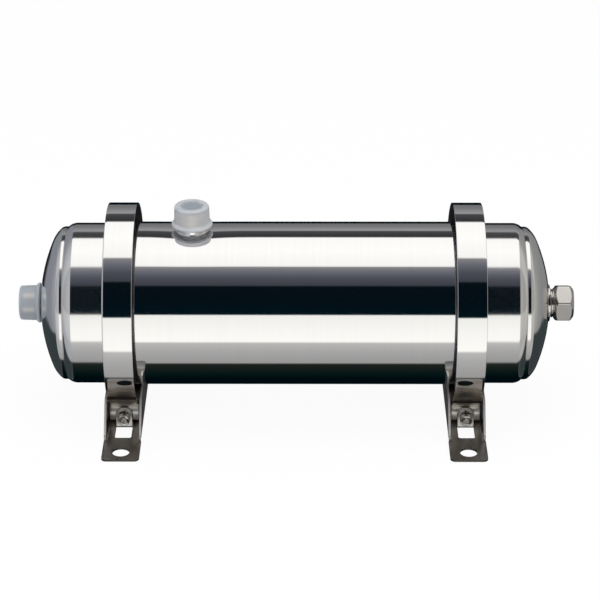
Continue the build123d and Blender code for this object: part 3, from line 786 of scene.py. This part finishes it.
def strip_section():
    """The section of a half strip: an offset, a share of the width and a bulge for each point.

    It goes out over the outer face, round the two eased corners and back over the inner
    face. A corner is a quarter circle, at ease * sin a along and ease * cos a outwards.
    """
    a = np.radians(np.linspace(0, 90, EASE_STEPS))
    along, outward = HOOP_EASE * np.sin(a), HOOP_EASE * np.cos(a)
    share = np.linspace(0, 1, FACE_STEPS)
    flat = STRIP / 2 - HOOP_EASE
    offsets = np.concatenate([
        np.full(FACE_STEPS, STRIP / 2), flat + outward[1:], -(flat + outward[::-1]),
        np.full(FACE_STEPS - 1, -STRIP / 2),
    ])
    shares = np.concatenate([share, np.ones(2 * EASE_STEPS - 1), share[::-1][1:]])
    bulges = np.concatenate([
        np.zeros(FACE_STEPS), along[1:], along[::-1], np.zeros(FACE_STEPS - 1),
    ])
    return offsets, shares, bulges


def hoop(name, x, tail_turn):
    """A strip carried along its path, as two halves that part round the screw's slot.

    A point of the half is at path + offset * normal, and X goes from the slot's edge to
    the strip's side. The slot's half width at height h from the screw is
    sqrt(slot radius^2 - h^2), and is 0 past it, where the halves are joined. Only the
    loops, far below the axis, are near enough to the screw to have one.
    """
    half = half_hoop(tail_turn)
    path = np.concatenate([half, (half * [-1, 1])[::-1][1:]])
    ahead = np.gradient(path, axis=0)
    ahead /= np.linalg.norm(ahead, axis=1)[:, None]
    normal = np.stack([ahead[:, 1], -ahead[:, 0]], 1)
    offsets, shares, bulges = strip_section()
    points = path[:, None, :] + offsets[None, :, None] * normal[:, None, :]
    height = points[..., 1] + AXIS_HEIGHT - SCREW_HEIGHT
    near = np.abs(points[..., 1]) > SLOT_FROM_AXIS
    slot = np.where(near, np.sqrt(np.clip(SLOT_RADIUS**2 - height**2, 0, None)), 0.0)
    wide = HOOP_WIDTH / 2 - HOOP_EASE
    across = slot + (wide - slot) * shares[None, :] + bulges[None, :]
    rows, columns = across.shape
    square = grid_faces(rows, columns, False, True)
    joined = (across < 1e-6).ravel()
    square = square[~joined[square].all(1)]
    faces = [square, square[:, ::-1] + rows * columns]
    for row in (0, rows, rows - 1, 2 * rows - 1):
        out = row * columns + np.arange(columns // 2)
        back = (row + 1) * columns - 1 - np.arange(columns // 2)
        faces.append(np.stack([out[:-1], out[1:], back[1:], back[:-1]], 1))
    level = points[..., 1] + AXIS_HEIGHT
    both = np.stack([
        np.stack([x + side * across, points[..., 0], level], -1) for side in (1.0, -1.0)
    ])
    made = to_object(name, both.reshape(-1, 3), np.concatenate(faces), sharp=50.0)
    mark_cut_ends(made, path[0], ahead[0])
    return made


def mark_cut_ends(made, end, direction):
    """An attribute that is 1 on the strip's two cut ends, and 0 elsewhere.

    A face is on a cut end where its middle lies in the plane through the path's end, at
    the front, or in that plane's mirror image at the rear.
    """
    middles = places(made.data.polygons, "center")
    away = np.stack([-np.abs(middles[:, 1]), middles[:, 2] - AXIS_HEIGHT], 1) - end
    cut = (np.abs(away @ direction) < 0.02) & (np.linalg.norm(away, axis=1) < STRIP)
    mark(made, "cut", "FACE", cut)
    print(made.name, "faces on cut ends:", int(cut.sum()))


LEFT_TAIL_TURN, RIGHT_TAIL_TURN = 25.5, 18.5
left_hoop = hoop("left_hoop_strip", -HOOP_PLACE, LEFT_TAIL_TURN)
right_hoop = hoop("right_hoop_strip", HOOP_PLACE, RIGHT_TAIL_TURN)
stands_for(left_hoop, "left_hoop", BAND)
stands_for(right_hoop, "right_hoop", BAND)

# %% [markdown]
# ## Threads
# The necks are threaded like water pipe, and the plug has a fine machine thread. A thread
# is a wave of the radius that moves on by one pitch in each turn, so it needs no cutting:
# it is part of the formula for the radius.

# %% Thread
def thread(along, crest, depth, pitch, steps):
    """The radius of a threaded rod, for each place along it and each angle.

    It is crest - depth * (1.15 - |4 * phase - 2|), with the last part kept between 0 and
    1, so the crests are flat. The phase is along / pitch + angle / one turn, less its
    whole number.
    """
    phase = (along[:, None] / pitch + angles(steps)[None, :] / (2 * np.pi)) % 1.0
    return crest - depth * np.clip(1.15 - np.abs(4 * phase - 2), 0, 1)


one_pitch = thread(np.linspace(0, 1, 5), crest=5.0, depth=0.5, pitch=1.0, steps=1)
print("radii along a pitch of a 10 mm thread:", one_pitch[:, 0].round(2).tolist())


# %% [markdown]
# ## Necks
# Each neck is a threaded stub of half inch pipe, 14 threads to the inch. A neck and its
# dust cap share one place and direction: the middle of the cap's rim, and its axis.

# %% Necks
THREAD_STEP = 0.12
NECK_BORE_RADIUS = 7.5
NECK_THREAD_DEPTH = 0.9
NECK_CHAMFER = 1.0
NECK_REACH = 13.55
NECK_PITCH = 1.814
NECK_STEPS = 160
CAP_LENGTH = 15.4
OUTLET_CAP_LIFT = 2.4
inlet_face = -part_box("inlet_dust_cap")[0][0] / MM - CAP_LENGTH
INLET = ((-inlet_face, 0.0, AXIS_HEIGHT), (-1.0, 0.0, 0.0))
OUTLET = ((OUTLET_PLACE, 0.0, AXIS_HEIGHT + TUBE_RADIUS + OUTLET_CAP_LIFT), (0.0, 0.0, 1.0))


def pipe_neck(name, place, root, plain):
    """A threaded outside, a chamfered mouth and a plain bore, from the root in the wall.

    The place is the start and direction of its axis. The outside is plain from the root
    up to a given distance, and there a little inside the hole's radius.
    """
    rows = np.arange(root, NECK_REACH, THREAD_STEP)
    outside = thread(rows, NECK_RADIUS, NECK_THREAD_DEPTH, NECK_PITCH, NECK_STEPS)
    mouth = NECK_RADIUS - NECK_CHAMFER + np.clip(NECK_REACH - rows, 0, NECK_CHAMFER)
    outside = np.minimum(outside, mouth[:, None])
    outside[rows < plain] = NECK_RADIUS - 0.02
    bore = np.array([NECK_REACH, NECK_REACH - 0.1, root + 0.1, root])
    along = np.concatenate([rows, bore])
    inside = np.full((len(bore), NECK_STEPS), NECK_BORE_RADIUS)
    return rings(name, along, np.concatenate([outside, inside]), *place)


inlet_neck = pipe_neck("inlet_neck_thread", INLET, root=-4.2, plain=-3.2)
outlet_neck = pipe_neck("outlet_neck_thread", OUTLET, root=-5.0, plain=-0.6)
stands_for(inlet_neck, "inlet_neck", MIRROR)
stands_for(outlet_neck, "outlet_neck", MIRROR)


# %% [markdown]
# ## Weld round the outlet
# The outlet's neck is welded into the side of the tube, and the bead is ground to a small
# hollow fillet. It lies on a round tube, so its foot rises and falls once round the neck
# on each side, as a saddle does.

# %% Weld round the outlet
WELD_LEG = 1.8
WELD_OVERLAP = 0.3
WELD_DEPTH = 1.2


def neck_weld():
    """A quarter-circle fillet carried round the neck, on the tube's own curve.

    At the angle t of the fillet, a point lies leg * (1 - sin t) out from the neck and
    leg * (1 - cos t) up from the tube. The tube lies at sqrt(tube radius^2 - y^2).
    """
    t = np.radians(np.linspace(0, 90, 12))
    out = np.concatenate([WELD_LEG * (1 - np.sin(t)), [-WELD_OVERLAP, -WELD_OVERLAP, WELD_LEG]])
    rise = np.concatenate([WELD_LEG * (1 - np.cos(t)), [WELD_LEG, -WELD_DEPTH, -WELD_DEPTH]])
    radius = np.repeat((NECK_RADIUS + out)[:, None], NECK_STEPS, axis=1)
    dent = WELD_DENT * np.exp(-((radius / WELD_SPREAD) ** 2))
    sideways = radius * np.cos(angles(NECK_STEPS))
    sheet = np.sqrt((TUBE_RADIUS - dent) ** 2 - sideways**2)
    along = sheet - TUBE_RADIUS - OUTLET_CAP_LIFT + rise[:, None]
    return rings("outlet_weld", along, radius, *OUTLET, sharp=60.0)


weld = neck_weld()
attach(weld, "housing")
finished(weld, MIRROR)

# %% [markdown]
# ## Dust caps
# The caps are pushed on to keep dirt out of the threads. Each is blown from soft plastic:
# a flared skirt, a nearly straight body and a dished top. It is one closed section, turned,
# with every corner eased, and two numbers at each point give the finish its painted shade
# and its painted highlight.

# %% Dust caps
CAP_BORE = 10.54
CAP_DISH = CAP_LENGTH - 0.9
CAP_CEILING = CAP_LENGTH - 1.6
DISH_RADIUS, DISH_FADE = 8.0, 2.2
TOP_PAINTED_SHADE = 0.4
NECK_SEEN = (3.0, CAP_LENGTH - 2.5)
GLINT = 0.45


def dust_cap(name, place, body_shade, glints):
    """The cap's closed section, from the skirt's rim up over the dished top and down inside."""
    corners = [
        (0.0, CAP_BORE), (0.0, 12.2), (1.0, 14.1), (2.2, 14.1), (3.9, 12.3),
        (CAP_LENGTH, 11.95), (CAP_LENGTH, 8.2), (CAP_DISH, 7.4), (CAP_DISH, 0.0),
        (CAP_CEILING, 0.0), (CAP_CEILING, CAP_BORE), (0.0, CAP_BORE),
    ]
    section = rounded(corners, [0, 0.5, 0.6, 0.8, 1.6, 1.7, 0.5, 0.4, 0, 0, 0.4, 0], 9)
    made = turned(name, guarded(section, longest=1.2)[:-1], *place, steps=NECK_STEPS)
    mark_plastic(made, place, body_shade, glints)
    return made


def mark_plastic(made, place, body_shade, glints):
    """Two attributes for the plastic: its painted shade, and its painted highlight from the neck.

    The painted shade is a set share over the top, rising to 1 in the dish, and at least
    the third argument, 0 to 1, everywhere. The glints are the angles and widths, in degrees
    round from the front, of the painted highlight where the neck's bright lines would shine
    through: exp(-((angle - middle) / width)^2) over the neck's length.
    """
    spots = places(made.data.vertices) - place[0]
    along = spots @ np.array(place[1])
    radius = np.linalg.norm(spots - along[:, None] * place[1], axis=1)
    # Painted shade: a set share over the top, rising to 1 in the dish.
    top = along > CAP_LENGTH - 2.0
    dish = TOP_PAINTED_SHADE + (1 - TOP_PAINTED_SHADE) * np.clip((DISH_RADIUS - radius) / DISH_FADE, 0, 1)
    mark(made, "thin_shade", "POINT", np.maximum(np.where(top, dish, 0.0), body_shade))
    # Painted highlight: where the neck's bright lines would show through, at the glints' angles.
    across = np.cross(place[1], (0.0, -1.0, 0.0))
    angle = np.degrees(np.arctan2(spots @ across, -spots[:, 1]))[:, None]
    middle, width = np.array(glints).T
    shine = np.exp(-(((angle - middle) / width) ** 2)).sum(1)
    low, high = NECK_SEEN
    shine *= np.clip((along - low) / 2, 0, 1) * np.clip(high - along, 0, 1)
    mark(made, "steel", "POINT", GLINT * shine)


# The inlet cap's body gets much more painted shade than the outlet cap's; the glints place each
# cap's painted highlight.
inlet_cap = dust_cap("inlet_cap_soft", INLET, 0.7, [(2.0, 8.0), (50.0, 9.0)])
outlet_cap = dust_cap("outlet_cap_soft", OUTLET, 0.1, [(0.0, 24.0)])
stands_for(inlet_cap, "inlet_dust_cap", MILKY)
stands_for(outlet_cap, "outlet_dust_cap", MILKY)

# %% [markdown]
# ## Drain plug
# The plug is turned from hexagon bar. The lathe cuts a cone at both ends of the hexagon,
# so its radius anywhere is the smaller of the hexagon's and the cone's. A soft minimum
# instead of a hard one gives the edges the small rounding that the tool leaves.

# %% Drain plug
PLUG_THREAD_RADIUS = 10.1
PLUG_THREAD_DEPTH = 0.85
PLUG_PITCH = 1.5
PLUG_LEAD = 0.9
PLUG_HEX = 24.0
PLUG_CORNER_TILT = 23.2
PLUG_EASE = 0.12
NOSE_RADIUS, NOSE_LENGTH = 8.9, 8.3
RING_GROOVE_START, RING_GROOVE_END, RING_GROOVE_RADIUS = 1.85, 4.15, 7.5
RAISED_FACE = 0.6
plug_start, plug_end = (corner[0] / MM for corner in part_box("drain_plug"))
PLUG_HEAD = plug_end - 13.8
THREAD_START = PLUG_HEAD - 10.2
HEX_END = plug_end - RAISED_FACE


def soft_min(first, second, ease):
    """-ease * log(exp(-first / ease) + exp(-second / ease)), a minimum without a crease."""
    return -ease * np.logaddexp(-first / ease, -second / ease)


def drain_plug(steps=360):
    """The nose with its groove, the thread and the coned hexagon, as one table of radii.

    At an angle b from the middle of a flat, the hexagon's radius is half its width / cos b.
    Where cone and hexagon meet, the soft minimum is ease * log 2 too small, which is about
    0.08 mm, so both are made that much larger first.
    """
    nose = np.array([
        (0.0, 0.0), (0.0, NOSE_RADIUS - 0.4), (0.4, NOSE_RADIUS),
        (RING_GROOVE_START, NOSE_RADIUS), (RING_GROOVE_START, RING_GROOVE_RADIUS),
        (RING_GROOVE_END, RING_GROOVE_RADIUS), (RING_GROOVE_END, NOSE_RADIUS),
        (NOSE_LENGTH, NOSE_RADIUS),
    ]) + [plug_start, 0.0]
    rows = np.arange(THREAD_START, PLUG_HEAD - 0.05, THREAD_STEP)
    screwed = thread(rows, PLUG_THREAD_RADIUS, PLUG_THREAD_DEPTH, PLUG_PITCH, steps)
    lead = PLUG_THREAD_RADIUS - PLUG_LEAD + np.clip(rows - THREAD_START, 0, PLUG_LEAD)
    screwed = np.minimum(screwed, lead[:, None])
    near = PLUG_HEAD + np.concatenate([np.linspace(0, 3.2, 18), np.linspace(3.6, 9.8, 8)])
    head = np.concatenate([near, HEX_END - np.linspace(3.4, 0, 18)])
    corner = PLUG_HEX / math.sqrt(3)
    cone = np.interp(
        head, [PLUG_HEAD, PLUG_HEAD + 2.6, plug_end - 3.15, HEX_END],
        [PLUG_THREAD_RADIUS, corner, corner, 10.5],
    )
    b = np.radians((np.degrees(angles(steps)) - PLUG_CORNER_TILT) % 60 - 30)
    flat = PLUG_HEX / 2 / np.cos(b)
    extra = 0.08
    coned = soft_min(cone[:, None] + extra, flat[None, :] + extra, PLUG_EASE)
    last = np.array([(plug_end - 0.18, 10.25), (plug_end, 9.8), (plug_end, 0.0)])
    along = np.concatenate([nose[:, 0], rows, head, last[:, 0]])
    radius = np.concatenate([
        np.repeat(nose[:, 1:], steps, 1), screwed, coned, np.repeat(last[:, 1:], steps, 1),
    ])
    return rings("drain_plug_surface", along, radius, ON_AXIS, ALONG, closed=False, sharp=28.0)


stands_for(drain_plug(), "drain_plug", TURNED)

# %% [markdown]
# ## Sheet and bar with eased edges
# The brackets are lasered and folded, and the trunnions and screws are turned. Their
# solids already have the right shape, so copies of them are used, and a Bevel modifier
# rounds each hard edge by a fraction of a millimetre, which is where metal catches light.
# The tabs that are bent out of the walls have rounder tops than their solids, so some
# points of the copy are moved first.

# %% Rounder tabs
TAB_HALF = 5.7
TAB_CORNER = (4.0, 14.9)
TAB_ROUND_CENTRE = (1.0, 11.9)
TAB_ROUND = 4.6


def round_tabs(points):
    """The bracket's points in millimetres, with the small corners of its tabs made large.

    A point of a corner's small arc stands at an angle from that arc's centre. It goes to
    the same angle on the large arc, which meets the tab's side and top further down and in.
    """
    across = points[:, 0] - np.sign(points[:, 0]) * HOOP_PLACE
    side, height = np.abs(across) - TAB_CORNER[0], points[:, 2] - TAB_CORNER[1]
    corner = (np.abs(across) < TAB_HALF) & (side > -0.01) & (height > -0.01)
    turn = np.arctan2(height, side)
    wide = TAB_ROUND_CENTRE[0] + TAB_ROUND * np.cos(turn)
    moved = points.copy()
    moved[:, 0] += np.where(corner, np.sign(across) * wide - across, 0)
    moved[:, 2] = np.where(corner, TAB_ROUND_CENTRE[1] + TAB_ROUND * np.sin(turn), points[:, 2])
    print("tab corner points moved:", int(corner.sum()))
    return moved


# %% Eased copies of solids
HARD_EDGE = 40.0
SAME_CORNER = 1e-6
FLAT_WITHIN = 0.4
BRACKET_EASE, TRUNNION_EASE, SCREW_EASE, BOSS_EASE = 0.32, 0.3, 0.15, 0.25


def eased_copy(node, ease, finish, reshape=None):
    """A merged copy of a solid, whose hard edges are rounded by the ease.

    A solid comes as loose triangles, so their corners are joined first, and the triangles
    of one flat face are made one face.
    """
    mesh = bpy.data.meshes.new(node + "_eased")
    work = bmesh.new()
    work.from_mesh(frame["nodes"][node].data)
    bmesh.ops.remove_doubles(work, verts=work.verts, dist=SAME_CORNER)
    bmesh.ops.dissolve_limit(
        work, angle_limit=math.radians(FLAT_WITHIN), verts=work.verts, edges=work.edges
    )
    work.to_mesh(mesh)
    work.free()
    if reshape:
        mesh.vertices.foreach_set("co", (reshape(places(mesh.vertices)) * MM).ravel())
    made = smooth_object(node + "_eased", mesh, HARD_EDGE)
    bevel = made.modifiers.new("eased edges", "BEVEL")
    bevel.width = ease * MM
    bevel.segments = 2
    bevel.limit_method = "ANGLE"
    bevel.angle_limit = math.radians(HARD_EDGE)
    bevel.harden_normals = True
    stands_for(made, node, finish)


for node in ("left_bracket", "right_bracket"):
    eased_copy(node, BRACKET_EASE, SATIN, round_tabs)
for node in ("left_front_trunnion", "left_rear_trunnion", "right_front_trunnion",
             "right_rear_trunnion"):
    eased_copy(node, TRUNNION_EASE, TURNED)
for node in ("left_clamp_screw", "right_clamp_screw"):
    eased_copy(node, SCREW_EASE, TURNED)
eased_copy("drain_boss", BOSS_EASE, TURNED)

# %% [markdown]
# ## Pieces inside
# The rings, the drilled sleeve with its collars, the potted fibres: their solids are
# already true to the real pieces, and only need a finish.

# %% Solids that are kept
for node in ("drain_plug_o_ring", "left_module_o_ring", "right_module_o_ring"):
    finished(frame["nodes"][node], RUBBER)
for node in ("membrane_sleeve", "left_seal_collar", "right_seal_collar"):
    finished(frame["nodes"][node], WHITE)
for node in ("left_potting_block", "right_potting_block"):
    finished(frame["nodes"][node], RESIN)
finished(frame["nodes"]["membrane_fibres"], FIBRES)

# %% [markdown]
# ## Studio
# A mirror shows the room, so the room is what gives polished steel its look. Here the
# world holds it: level bands of soft boxes and dark screens. A band's place is the angle
# of the direction seen, in degrees up from level at the front: 90 is overhead, 180 is
# level at the back, and an angle below 0 is below the object. The edges and shades were
# read off the reflections in the photograph, and then corrected render by render.

# %% Bands of the room
BANDS = [
    (-180, "#00090D"), (-110, "#000A0F"), (-96, "#041414"), (-73, "#1A201E"), (-70, "#242826"),
    (-67.4, "#989897"), (-59, "#9D9C9C"), (-44, "#A8A8A8"), (-32.5, "#B9B7B6"), (-30, "#FCFBF7"),
    (-13, "#F8F7F4"), (8.6, "#EEEEEA"), (9.8, "#001118"), (30, "#010B13"), (49, "#030D14"),
    (50.5, "#3A3D46"), (60.6, "#494C55"), (66.4, "#5A5D66"), (72.4, "#6E6E77"), (77.5, "#838385"),
    (79, "#F6F5F3"), (105, "#FFFEFC"), (131, "#FAF9F7"), (132.6, "#2E2E30"), (148, "#464749"),
    (150.5, "#949496"), (164, "#757577"), (179, "#68696B"), (180, "#14181B"),
]
world = bpy.data.worlds.new("studio")
bpy.context.scene.world = world
world.use_nodes = True
sky = world.node_tree
sky.nodes.clear()
direction = add(sky, "ShaderNodeTexCoord")["Generated"]
sideways, away, upward = add(sky, "ShaderNodeSeparateXYZ", Vector=direction)
nearer = add(sky, "ShaderNodeMath", PRODUCT, i0=away, i1=-1.0)[0]
level = add(sky, "ShaderNodeMath", {"operation": "ARCTAN2"}, i0=upward, i1=nearer)[0]
turn = add(sky, "ShaderNodeMapRange", Value=level, From_Min=-math.pi, From_Max=math.pi)[0]
bands = [((degrees + 180) / 360, colour) for degrees, colour in BANDS]
boxes = add(sky, "ShaderNodeValToRGB", stops=bands, Fac=turn)[0]
print("bands of the room:", len(bands))

# %% [markdown]
# ## Walls beside the object
# The domes at both ends mirror what stands left and right of the object: a plain wall on
# each side, which gets darker towards the back. A shade's place is -1 straight behind the
# camera and 1 straight ahead of it. These shades too come from the reflections.

# %% Walls beside the object
LEFT_SIDE = [
    (-1.0, "#BEBEC2"), (-0.6, "#ACADB1"), (0.0, "#9C9DA3"), (0.4, "#80838A"), (0.86, "#7C7F86"),
    (0.91, "#1C1F21"), (1.0, "#0C0F11"),
]
RIGHT_SIDE = [
    (-1.0, "#B4B2AF"), (-0.5, "#A19E9A"), (-0.1, "#B0AFAB"), (0.3, "#8D8D8B"), (1.0, "#7A7B7D"),
]
VIEW_RISE = math.radians(26.28)
line_of_sight = (0.0, math.cos(VIEW_RISE), -math.sin(VIEW_RISE))
ahead = add(
    sky, "ShaderNodeVectorMath", {"operation": "DOT_PRODUCT"}, i0=direction, i1=line_of_sight
)["Value"]
depth = add(sky, "ShaderNodeMapRange", Value=ahead, From_Min=-1.0, From_Max=1.0)[0]
left_stops = [((a + 1) / 2, colour) for a, colour in LEFT_SIDE]
right_stops = [((a + 1) / 2, colour) for a, colour in RIGHT_SIDE]
left_wall = add(sky, "ShaderNodeValToRGB", stops=left_stops, Fac=depth)[0]
right_wall = add(sky, "ShaderNodeValToRGB", stops=right_stops, Fac=depth)[0]
side = add(sky, "ShaderNodeMapRange", EASED, Value=sideways, From_Min=-0.1, From_Max=0.1)[0]
walls = add(sky, "ShaderNodeMix", MIXED, i0=side, i6=left_wall, i7=right_wall)[2]
left = add(sky, "ShaderNodeMapRange", EASED, Value=sideways, From_Min=-0.19, From_Max=-0.25)[0]
right = add(sky, "ShaderNodeMapRange", EASED, Value=sideways, From_Min=0.30, From_Max=0.37)[0]
beside = add(sky, "ShaderNodeMath", {"operation": "MAXIMUM"}, i0=left, i1=right)[0]
spill = add(
    sky, "ShaderNodeMapRange", Value=ahead, From_Min=-0.4, From_Max=0.2, To_Min=0.86, To_Max=1.0
)[0]
share = add(sky, "ShaderNodeMath", PRODUCT, i0=beside, i1=spill)[0]
room = add(sky, "ShaderNodeMix", MIXED, i0=share, i6=boxes, i7=walls)[2]
print("shades of the walls:", len(left_stops), "and", len(right_stops))

# %% [markdown]
# ## Table edge
# The table below the object is dark, and shows low in the domes. Its front edge is drawn
# by a plane through the object, tilted off upright: only what is below the object and
# behind that plane is dark, and only in the side walls.

# %% Dark table edge, low in the side walls
TABLE_SLOPE = 0.364
low = add(sky, "ShaderNodeMapRange", EASED, Value=upward, From_Min=-0.39, From_Max=-0.43)[0]
slope = add(sky, "ShaderNodeMath", SCALED_SUM, i0=upward, i1=-TABLE_SLOPE, i2=away)[0]
under = add(
    sky, "ShaderNodeMapRange", EASED, Value=slope, From_Min=-0.03, From_Max=0.03, To_Max=low
)[0]
shade = add(sky, "ShaderNodeMath", PRODUCT, i0=beside, i1=under)[0]
room = add(sky, "ShaderNodeMix", MIXED, i0=shade, i6=room, i7=linear("#333A3B"))[2]
print("plane tilted by", round(math.degrees(math.atan(TABLE_SLOPE)), 1), "degrees")

# %% [markdown]
# ## Who sees the room
# Only reflections see the bands and walls. The camera sees plain white behind the object,
# as in a catalogue, and every surface is lit evenly from all round.

# %% What reflections, surfaces and the camera each see of the room
MIRRORED_LIGHT = 1.2
EVEN_LIGHT = 0.75
rays = add(sky, "ShaderNodeLightPath")
mirrored = add(sky, "ShaderNodeBackground", Color=room, Strength=MIRRORED_LIGHT)[0]
even = add(sky, "ShaderNodeBackground", Color=linear("#FFFFFF"), Strength=EVEN_LIGHT)[0]
seen = add(sky, "ShaderNodeBackground", Color=linear("#FFFFFF"), Strength=1.0)[0]
lit = add(sky, "ShaderNodeMixShader", i0=rays["Is Glossy Ray"], i1=even, i2=mirrored)[0]
shown = add(sky, "ShaderNodeMixShader", i0=rays["Is Camera Ray"], i1=lit, i2=seen)[0]
add(sky, "ShaderNodeOutputWorld", Surface=shown)
print("nodes of the room:", len(sky.nodes))

# %% [markdown]
# ## Floor and lamp
# The floor is white paper that fades into the white behind it: what the camera sees of it
# is mostly glow, and the rest catches the soft shadow below the object. One large lamp
# overhead makes that shadow. The steel doesn't mirror the floor or the lamp, because the
# bands hold both already.

# %% Floor and lamp
FLOOR_HALF = 4.0
FLOOR_DROP = 0.2 * MM
FLOOR_GLOW = 0.94
LAMP_SIZE = (1.6, 1.0)
LAMP_POWER = 11.0
floor_mesh = bpy.data.meshes.new("floor")
floor_corners = np.array([(-1, -1, 0), (1, -1, 0), (1, 1, 0), (-1, 1, 0)]) * FLOOR_HALF
floor_mesh.from_pydata(floor_corners - [0.0, 0.0, FLOOR_DROP], [], [(0, 1, 2, 3)])
floor = bpy.data.objects.new("floor", floor_mesh)
bpy.context.scene.collection.objects.link(floor)
paper, tree, _ = finish_named("white paper floor")
matt = add(tree, "ShaderNodeBsdfDiffuse", Color=linear("#F4F4F4"))[0]
glow = add(tree, "ShaderNodeEmission", Color=linear("#FFFFFF"), Strength=1.0)[0]
rays = add(tree, "ShaderNodeLightPath")
veil = add(tree, "ShaderNodeMath", PRODUCT, i0=rays["Is Camera Ray"], i1=FLOOR_GLOW)[0]
skin = add(tree, "ShaderNodeMixShader", i0=veil, i1=matt, i2=glow)[0]
add(tree, "ShaderNodeOutputMaterial", Surface=skin)
floor_mesh.materials.append(paper)
floor.visible_glossy = False

lamp_data = bpy.data.lights.new("overhead box", "AREA")
lamp_data.shape = "RECTANGLE"
lamp_data.size, lamp_data.size_y = LAMP_SIZE
lamp_data.energy = LAMP_POWER
lamp = bpy.data.objects.new("overhead box", lamp_data)
lamp.location = (0.0, -0.3, 1.4)
lamp.rotation_euler = (math.radians(-12), 0, 0)
lamp.visible_glossy = False
bpy.context.scene.collection.objects.link(lamp)
print("lamp:", LAMP_POWER, "W,", round(lamp.location.z, 2), "m up")

# %% [markdown]
# ## Camera
# The photograph was taken from the front, a little above, with a long lens: the ends of
# the housing keep almost the size of its middle. The lens is given as a distance in
# pixels, and the camera aims a few pixels beside the middle of the housing.

# %% Camera
VIEW_DISTANCE = 1625.3
VIEW_TURN = math.radians(0.253)
FOCAL_PIXELS = 2310.0
AIM_PIXELS = (4.96, 2.77)
PICTURE_PIXELS = 600
SENSOR_WIDTH = 36.0
camera_data = bpy.data.cameras.new("camera")
camera_data.sensor_width = SENSOR_WIDTH
camera_data.lens = FOCAL_PIXELS / PICTURE_PIXELS * SENSOR_WIDTH
camera_data.clip_start, camera_data.clip_end = 0.05, 50.0
camera = bpy.data.objects.new("camera", camera_data)
bpy.context.scene.collection.objects.link(camera)
level_back = np.array([math.sin(VIEW_TURN), -math.cos(VIEW_TURN), 0.0])
back = level_back * math.cos(VIEW_RISE) + [0.0, 0.0, math.sin(VIEW_RISE)]
beside = np.array([math.cos(VIEW_TURN), math.sin(VIEW_TURN), 0.0])
above = np.cross(back, beside)
camera_place = np.array(ON_AXIS) + VIEW_DISTANCE * back
pixel = VIEW_DISTANCE / FOCAL_PIXELS
aim = np.array(ON_AXIS) + pixel * (AIM_PIXELS[0] * beside + AIM_PIXELS[1] * above)
camera.location = Vector(camera_place * MM)
camera.rotation_euler = Vector((aim - camera_place) * MM).to_track_quat("-Z", "Y").to_euler()
bpy.context.scene.camera = camera
bpy.context.scene.view_settings.view_transform = "Standard"
print("lens:", round(camera_data.lens, 1), "mm")
